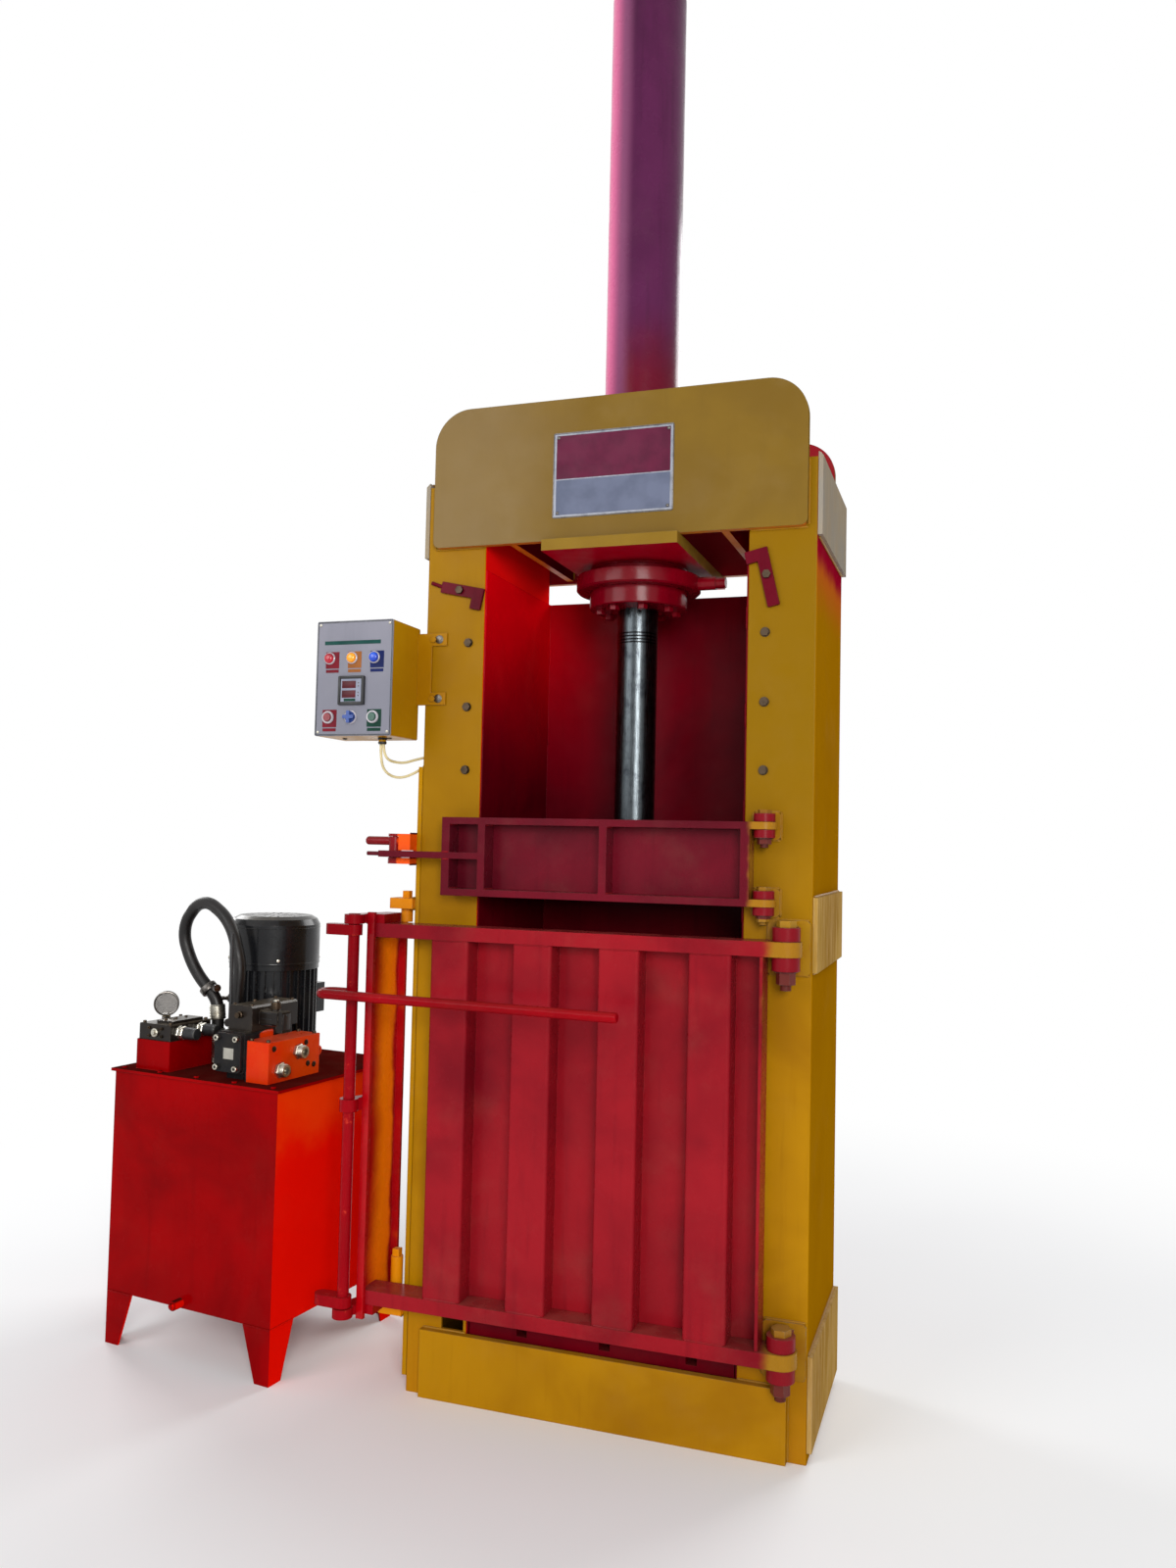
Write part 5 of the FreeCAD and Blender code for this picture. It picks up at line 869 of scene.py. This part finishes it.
def ring_weld(radius, z, thick, count, seed):
    """Rippled weld ring about the cylinder's axis."""
    rng = random.Random(seed)
    swells = [thick * (0.85 + 0.2 * (k % 2) + 0.15 * rng.random()) for k in range(count)]
    return hoop(at(0, 0, z), radius, swells, 6)


def cylinder_welds():
    piece("tube_weld_ring", "weld", ring_weld(104.5, 2230, 4.2, 140, seed=1045))
    piece("flange_weld_ring", "red", ring_weld(129, 2196.5, 4, 170, seed=1290))


def door_welds():
    runs = []
    for k in range(4):
        left = -444 + 227.5 * k
        runs += [upright(x, -262.5, z, z + 36) for x in (left + 0.5, left + 104.5)
                 for z in (300, 470, 640, 810, 980, 1130)]
        runs += [across(left + 6, left + 99, -326.5, z) for z in (279, 1186)]
    runs += [inward(-610, -328, -256, z) for z in (278, 1187)]
    runs += [inward(-611.5, -329, -256, z) for z in (243, 1222)]
    beads("bale_door_weld_beads", "door", runs, 2.7, body="bale_door")
    runs = [inward(-622, -345, -331, z) for z in (219, 241, 1224, 1246)]
    runs += [inward(-622, -344, -331, z) for z in (741, 771)]
    beads("lock_arm_weld_beads", "lock", runs, 3, body="bale_door")
    runs = [inward(x, -310, -256, z) for x in (-405, -327, -305, 1, 23, 357) for z in (1321, 1486)]
    for z in (1396, 1415):
        runs += [across(-427, -407, -311.5, z), inward(-328, -309, -284, z)]
    beads("feed_door_weld_beads", "door", runs, 2.4, body="feed_door")


# ---------- hinge hardware
BALE_PIN = (468, -292)
FEED_PIN = (410.5, -282)
BALE_NUTS = (176.6, 1121.6)
FEED_NUTS = (1266.6, 1451.6)


def hinge_hardware():
    piece("hinge_pin_threads", "dark_steel",
          *[thread(*BALE_PIN, z - 14.5, z + 1, 13.4, 2.5) for z in BALE_NUTS],
          *[thread(*FEED_PIN, z - 9, z + 1, 10.4, 2) for z in FEED_NUTS])
    forms = []
    for z in BALE_NUTS:
        forms += [lathe([(13.6, 31.8), (26.2, 31.8), (27, 31.2), (27, 29), (26.2, 28.4), (13.6, 28.4)],
                        at(*BALE_PIN, z), 40),
                  lathe([(0, -0.4), (15, -0.4), (19.2, 1.6), (19.2, 2.2)], at(*BALE_PIN, z), 36)]
    forms += [lathe([(10.5, 14.8), (19.6, 14.8), (20.2, 14.3), (20.2, 12.6), (19.6, 12.1), (10.5, 12.1)],
                    at(*FEED_PIN, z), 36) for z in FEED_NUTS]
    piece("hinge_pin_washers", "nut", *forms)


# ---------- bare plate
def name_plate_pieces():
    """Bare two-tone plate: maroon field over pale blue field in a pressed metal border."""
    x, front = 2, -263.5
    for name, low, high, look in (("upper", 2388, 2502, "field_maroon"),
                                  ("lower", 2294, 2385, "field_blue")):
        piece("name_plate_" + name + "_field", look,
              slab((306, 0.6, high - low), at(x, front - 0.3, (low + high) / 2), 0.2, 1))
    rivet = [(4.4, 0), (4.4, 0.8), (3.4, 2.2), (1.6, 2.9), (0, 3)]
    piece("name_plate_border_and_rivets", "bezel_steel",
          *[slab((322, 1.4, 2.4), at(x, front - 0.6, z), 0.6) for z in (2287.8, 2508.2)],
          *[slab((2.4, 1.4, 220), at(x + dx, front - 0.6, 2398), 0.6) for dx in (-160.4, 160.4)],
          *[lathe(rivet, towards(FRONT, x + dx, front - 0.5, z), 20)
            for dx in (-148, 148) for z in (2299, 2497)])


# ---------- control box
PANEL = -387  # front of the control panel
PILOTS = {-730.5: "lamp_red", -664.5: "lamp_amber", -598.5: "lamp_blue"}
LABELS = {"label_green": [(-664.5, 1958, 166, 10)],
          "label_red": [(-723, 1912, 40, 44), (-727, 1758, 42, 46)],
          "label_amber": [(-657, 1912, 40, 44)],
          "label_blue": [(-591, 1912, 40, 44)],
          "label_forest": [(-595, 1758, 42, 46)]}


def control_panel_pieces():
    piece("panel_border", "dark_trim",
          *[slab((3, 1.2, 298), at(x, PANEL - 0.5, 1864), 0.5) for x in (-768, -549)],
          *[slab((219, 1.2, 3), at(-658.5, PANEL - 0.5, z), 0.5) for z in (1715, 2013)])
    piece("panel_screws", "zinc",
          *[round_screw(towards(FRONT, x, PANEL, z, 20 * x), 4, 2.4)
            for x in (-761, -556) for z in (1722, 2006)])
    for look, fields in LABELS.items():
        forms = []
        for x, z, wide, high in fields:
            forms.append(slab((wide, 0.8, high), at(x, PANEL - 0.3, z), 0.3, 1))
            if wide < 60:
                forms.append(slab((wide * 0.95, 0.8, 8), at(x, PANEL - 0.3, z - high / 2 - 7), 0.3, 1))
        piece("panel_" + look, look, *forms)
    bezel = [(0, 0), (16, 0), (16.2, 3), (15.5, 5.2), (14.2, 6), (13.4, 5.6), (13, 3), (0, 3)]
    lens = [(0, 2.8), (13.1, 2.8), (13.1, 6.2), (12.9, 7.8), (12.1, 9.8), (10.4, 11.8), (7.8, 13.1),
            (4.2, 13.8), (0, 14)]
    places = [towards(FRONT, x, PANEL, 1917) for x in PILOTS]
    bezels = piece("lamp_bezels", "bright_ring", *[lathe(bezel, place, 40) for place in places])
    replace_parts(bezels, "pilot_lamps")
    for place, look in zip(places, PILOTS.values()):
        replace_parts(piece(look + "_lens", look, lathe(lens, place, 40)), "pilot_lamps")
    button = [(11.4, 0), (16.6, 0), (16.8, 4.5), (15.8, 6.6), (14.2, 7), (12.2, 6.2), (11.4, 3)]
    knob = [(14.2, 0), (17.6, 0), (17.2, 2.4), (15, 3), (14.2, 2)]
    piece("button_rings", "bright_ring",
          *[lathe(ring, towards(FRONT, x, PANEL, 1761), 44)
            for ring, x in ((button, -730.5), (button, -598.5), (knob, -664.5))])


def meter_pieces():
    face = -393.5
    x, z = -662, 1831
    piece("meter_frame", "black_plastic",
          *[slab((6, 2.8, 75), at(x + dx, face - 1, z), 0.9) for dx in (-34.5, 34.5)],
          *[slab((63, 2.8, 6), at(x, face - 1, z + dz), 0.9) for dz in (-34.5, 34.5)])
    piece("meter_face", "meter_face", slab((60, 0.8, 60), at(x, face - 0.2, z), 0.3, 1))
    piece("meter_windows", "window_red",
          *[slab((40, 1.2, 19), at(x - 6, face - 0.9, z + dz), 0.4) for dz in (15, -10)])
    piece("meter_strip", "label_forest", slab((34, 1, 7), at(x - 3, face - 0.8, z - 25.5), 0.3, 1))
    piece("meter_keys", "bezel_steel",
          *[lathe([(1.8, 0), (1.8, 1), (1.2, 1.5), (0, 1.6)],
                  towards(FRONT, x + 22, face - 0.6, z + dz), 16) for dz in (19, 11, -6, -14)])


def box_hardware():
    piece("bracket_washers", "bezel_steel",
          *[lathe([(0, 0), (11.5, 0), (11.5, 1.4), (10.8, 1.8), (0, 1.8)], towards(FRONT, -482, -247, z), 30)
            for z in (1823, 1983)])
    piece("box_plugs", "black_plastic",
          *[lathe([(0, 0), (6.5, 0), (6.5, 1.8), (4, 3), (0, 3.2)], towards(DOWN, x, -310, 1712), 20)
            for x in (-590, -724)])
    gland = towards(DOWN, -604, -322, 1712)
    piece("cable_gland_nuts", "black_plastic", hexhead(gland, 24, 5.5),
          lathe([(10.2, 10.5), (11.2, 11.2), (11.2, 15), (9.8, 17.2), (9.2, 17.2)], gland, 32))


# ---------- power pack
GAUGE = (-528, 120)  # the gauge's stem, in the power pack's frame
GAUGE_TURN = 42  # degrees that the dial is turned right
DIAL_START = 225  # angle of the dial's zero, counted from its right
DIAL_SWEEP = 270
NUMBERS = ("0", "50", "100", "150", "200", "250")


def dial_matrix(depth):
    """Frame on the gauge's face, so far out of it: X across, Y up the dial and Z out of it."""
    a = radians(GAUGE_TURN)
    out = Vector((sin(a), -cos(a), 0))
    side = Vector((cos(a), sin(a), 0))
    return axes(side, Vector((0, 0, 1)), out, mm(*GAUGE, 947) + out * depth * MM)


def gauge_pieces():
    base = dial_matrix(7)
    packed("gauge_dial", "dial_face", disc(30.9, 0, 0.6, base, 56))
    ticks = []
    for k in range(26):
        long, wide = (5, 0.8) if k % 5 == 0 else (2.4, 0.4)
        turn = base @ turned(DIAL_START - DIAL_SWEEP * k / 25)
        ticks.append(slab((long, wide, 0.3), turn @ at(28.8 - long / 2, 0, 0.8)))
    packed("gauge_ticks", "ink", *ticks)
    packed("gauge_red_band", "lamp_red",
           *[slab((2, 1.1, 0.3), base @ turned(-5 - 40 * (k + 0.5) / 14) @ at(20.8, 0, 0.8))
             for k in range(14)])
    for k, number in enumerate(NUMBERS):
        a = radians(DIAL_START - DIAL_SWEEP * k / 5)
        name = "dial_number_" + number
        text = bpy.data.curves.new(name, "FONT")
        text.body = number
        text.size = 0.0054
        text.align_x = text.align_y = "CENTER"
        text.extrude = 0.00012
        text.materials.append(M["ink"])
        ob = add_object(name, text)
        ob.matrix_world = PACK @ base @ at(17.6 * cos(a), 17.6 * sin(a), 0.9)
        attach(ob, "press_frame")
    face = dial_matrix(13)
    packed("gauge_bezel", "bezel_steel",
           lathe([(33.5, -24), (35, -23.2), (35.2, -19), (34.4, -18.4)], face, 56),
           lathe([(34.2, -7.5), (35.8, -7), (36, 0.6), (35, 2.2), (33, 2.6), (31.2, 1.6),
                  (30.8, 0)], face, 56))
    packed("gauge_glass", "glass", disc(30.9, 0.4, 1.2, face, 48))
    packed("gauge_stem_nut", "brass", hexhead(at(*GAUGE, 909.5), 18.5, 7.5),
           lathe([(6.6, 0), (10.6, 0), (10.6, 1.6), (6.6, 1.6)], at(*GAUGE, 901.8), 28))


def valve_pieces():
    """Zinc hex fittings with black caps on the left valve, its cap screws and a spool end."""
    nuts, caps = [], []
    cap = [(0, -0.8), (16.8, -0.8)]
    for k in range(9):
        h = 1.2 + 3.6 * k
        cap += [(17.3, h), (17.3, h + 1.8), (16.6, h + 2.2), (16.6, h + 3.2)]
    cap += [(17, 35.2), (16.2, 41.5), (14, 43.2), (0, 43.6)]
    for y in (62, 140):
        along = towards(RIGHT, -420, y, 879, 15)
        nuts += [hexhead(along @ at(0, 0, 1.2), 33.5, 9.5), hexhead(along @ at(0, 0, 15), 33, 11),
                 lathe([(15, 10.6), (15.8, 11.2), (15.8, 14.6), (15, 15)], along, 32)]
        caps.append(lathe(cap, towards(RIGHT, -392, y, 879), 36))
    packed("valve_fitting_nuts", "zinc", *nuts)
    packed("valve_fitting_caps", "black_plastic", *caps)
    packed("valve_cap_screws", "dark_steel",
           *[socket_screw(at(x, y, 902), 5, 5.2) for x in (-529, -430) for y in (40, 178)],
           *[socket_screw(at(-470, y, 909.8), 4.2, 4.2) for y in (62, 101, 140)],
           *[socket_screw(towards(FRONT, x, 30, z), 4.5, 4.5) for z in (868, 890) for x in (-500, -452)])
    packed("valve_spool_plug", "zinc",
           lathe([(0, 0), (12, 0), (12.4, 6), (11, 7.2), (0, 7.2)],
                 towards(FRONT, -476, 30, 878), 32),
           hexhead(towards(FRONT, -476, 23, 878), 12, 5))


def pump_pieces():
    """Screws, plugs and port fittings of the pump block, and two bare tags."""
    screw = [(7.4, -9.5), (8.2, -8), (8.2, 0.8), (7.4, 1.6), (4, 1.6), (3.6, -3), (0, -3)]
    packed("pump_cap_screws", "zinc",
           *[lathe(screw, towards(FRONT, x, 12, z), 24) for x in (-234, -166) for z in (808, 888)])
    packed("pump_bare_labels", "bare_tag", slab((36, 0.8, 30), at(-196, 21.6, 846), 0.3, 1),
           slab((0.8, 24, 18), at(-71.6, 110, 938), 0.3, 1))
    port = [(17.2, 12)]
    for k in range(5):
        port += [(17.8, 12.8 + 2.6 * k), (17.1, 14.1 + 2.6 * k)]
    port += [(17.2, 25.5), (16.5, 26.4), (10.2, 26.4), (10, 5)]
    fittings = []
    for y, z in ((80, 806), (156, 846)):
        along = towards(RIGHT, -66, y, z, 12)
        fittings += [hexhead(along @ at(0, 0, 0.8), 38, 10), lathe(port, along, 36)]
    packed("manifold_port_fittings", "zinc", *fittings)
    plug = [(0, 0), (8, 0), (8, 1.6), (7, 2.2), (4, 2.2), (3.6, 0.8), (0, 0.8)]
    packed("manifold_plugs", "dark_steel",
           *[lathe(plug, towards(RIGHT, -66, y, z), 24)
             for y, z in ((56, 866), (120, 794), (190, 866), (226, 800), (200, 806))],
           *[socket_screw(at(x, y, 884), 5.5, 6) for y in (46, 240) for x in (-136, -78)])


def stack_pieces():
    """Screws, knurled nut and coil case of the valve stack."""
    packed("stack_screws", "dark_steel",
           *[socket_screw(at(x, y, 973.6), 4.8, 5) for x in (-222, -160) for y in (70, 150, 238)],
           lathe([(0, 0), (10, 0), (10, 6), (7.8, 7.8), (7.8, 16), (0, 16.2)],
                 towards(FRONT, -191, 60, 948), 30))
    packed("knurled_screw", "dark_steel",
           lathe([(0, 0), (12.6, 0), (12.8, 2), (12.8, 18), (11.8, 20), (0, 20)],
                 at(-110, 110, 964), 40),
           *[slab((1.2, 1.4, 16), at(-110, 110, 974) @ turned(360 * k / 28) @ at(12.9, 0, 0), 0.3, 1)
             for k in range(28)])
    packed("coil_nut", "zinc",
           lathe([(0, 0), (7.8, 0), (7.8, 4), (6, 5.6), (0, 5.8)], at(-110, 110, 985.5), 28),
           hexhead(towards(RIGHT, -88, 110, 939), 19, 4))
    packed("coil_case_ribs", "black_plastic",
           *[slab((40, 44.8, 1.6), at(-124, 110, z), 0.6) for z in (922, 938, 954)],
           slab((4, 30, 44), at(-71.2, 110, 932), 1.2),
           round_screw(towards(RIGHT, -69.5, 110, 950), 3.6, 2))


MOTOR = (-322, 345)  # the motor's axis, in the power pack's frame


def motor_pieces():
    """Cowl beads, screws and eyebolt of the motor."""
    centre = at(*MOTOR, 0)
    packed("cowl_beads", "motor",
           lathe([(132.5, 1063), (133.8, 1063.6), (134.2, 1066.2), (133.6, 1069), (132.6, 1069.4)],
                 centre, 96),
           lathe([(132.5, 1170), (133.8, 1170.6), (133.8, 1172.2), (132.5, 1172.8)], centre, 96))
    corners = [(cos(a), sin(a)) for a in (radians(45 + 90 * k) for k in range(4))]
    packed("motor_screws", "zinc",
           *[round_screw(towards((x, y, 0), MOTOR[0] + 132.6 * x, MOTOR[1] + 132.6 * y, 1078), 5, 2.8)
             for x, y in corners],
           *[hexhead(at(MOTOR[0] + 120 * x, MOTOR[1] + 120 * y, 794), 15, 7) for x, y in corners])
    side = Vector((-0.76, -0.65, 0)).normalized()
    along = frame_to(mm(*MOTOR, 955) + side * 0.126, side)
    packed("motor_eyebolt", "cast",
           lathe([(0, 0), (12, 0), (12, 5), (7, 8), (6, 12), (0, 13)], along, 28),
           hoop(along @ at(0, 0, 24) @ Matrix.Rotation(radians(90), 4, "X"), 13, [4.5] * 36, 12))


def hose_pieces():
    """Pressed ferrules with grooves on both ends of the suction hose, and its tee clamp."""
    sleeve = [(21.2, 0)]
    for k in range(6):
        h = 1.2 + 6.5 * k
        sleeve += [(21.9, h), (22.1, h + 3.8), (21.3, h + 4.6), (21.3, h + 5.8)]
    sleeve += [(21.8, 40.5), (20.6, 42.5), (18.4, 43)]
    upper = [(18.8, 0), (22.6, 1)]
    for k in range(5):
        h = 2 + 8 * k
        upper += [(23, h), (23.2, h + 5.2), (22.2, h + 6), (22.2, h + 7.4)]
    upper += [(22.8, 42.5), (21.6, 44), (18.8, 44.2)]
    tilt = at(-424, 222, 896) @ Matrix.Rotation(radians(-6), 4, "Y")
    packed("hose_ferrule_sleeves", "zinc", lathe(sleeve, at(-424, 222, 828), 44),
           lathe(sleeve, at(-300, 165, 875), 44), lathe(upper, tilt, 44))
    spot = mm(-458, 216, 985)
    out = Vector((0.9, -0.35, 0.12)).normalized()
    packed("hose_tee_clamp", "bezel_steel",
           lathe([(18.4, -10), (25.2, -9.6), (26.2, -8), (26.2, 8), (25.2, 9.6), (18.4, 10)],
                 frame_to(spot, (-88, -16, 90)), 44),
           lathe([(0, 0), (8, 0), (8, 24), (11.2, 24.6), (11.2, 33), (0, 33.6)],
                 frame_to(spot + out * 0.024, out), 32))


def tank_pieces():
    """Welds round the valve's pad and at the legs, lid screws and the drain plug."""
    runs = [across(-542, -416, y, 772.5) for y in (26, 192)]
    runs += [inward(x, 26, 192, 772.5) for x in (-542, -416)]
    for x, y, dx, dy in ((-593, 0, 92, 92), (0, 0, -92, 92), (-593, 545, 92, -92), (0, 545, -92, -92)):
        runs += [across(x, x + dx, y, 147), inward(x, y, y + dy, 147)]
    beads("tank_weld_beads", "tank", runs, 2.6, local=True)
    packed("lid_screws", "tank",
           *[hexhead(at(-569 + k * 136.2, y, 772), 13, 5.2) for k in range(5) for y in (10, 535)])
    drain = towards(FRONT, -315, -30, 161)
    packed("drain_plug", "tank", disc(12.2, 0, 1.6, drain, 28),
           hexhead(drain @ at(0, 0, 1.4), 15, 6))


for finish in (frame_welds, cylinder_welds, door_welds, hinge_hardware, name_plate_pieces,
               control_panel_pieces, meter_pieces, box_hardware, gauge_pieces, valve_pieces, pump_pieces,
               stack_pieces, motor_pieces, hose_pieces, tank_pieces):
    finish()
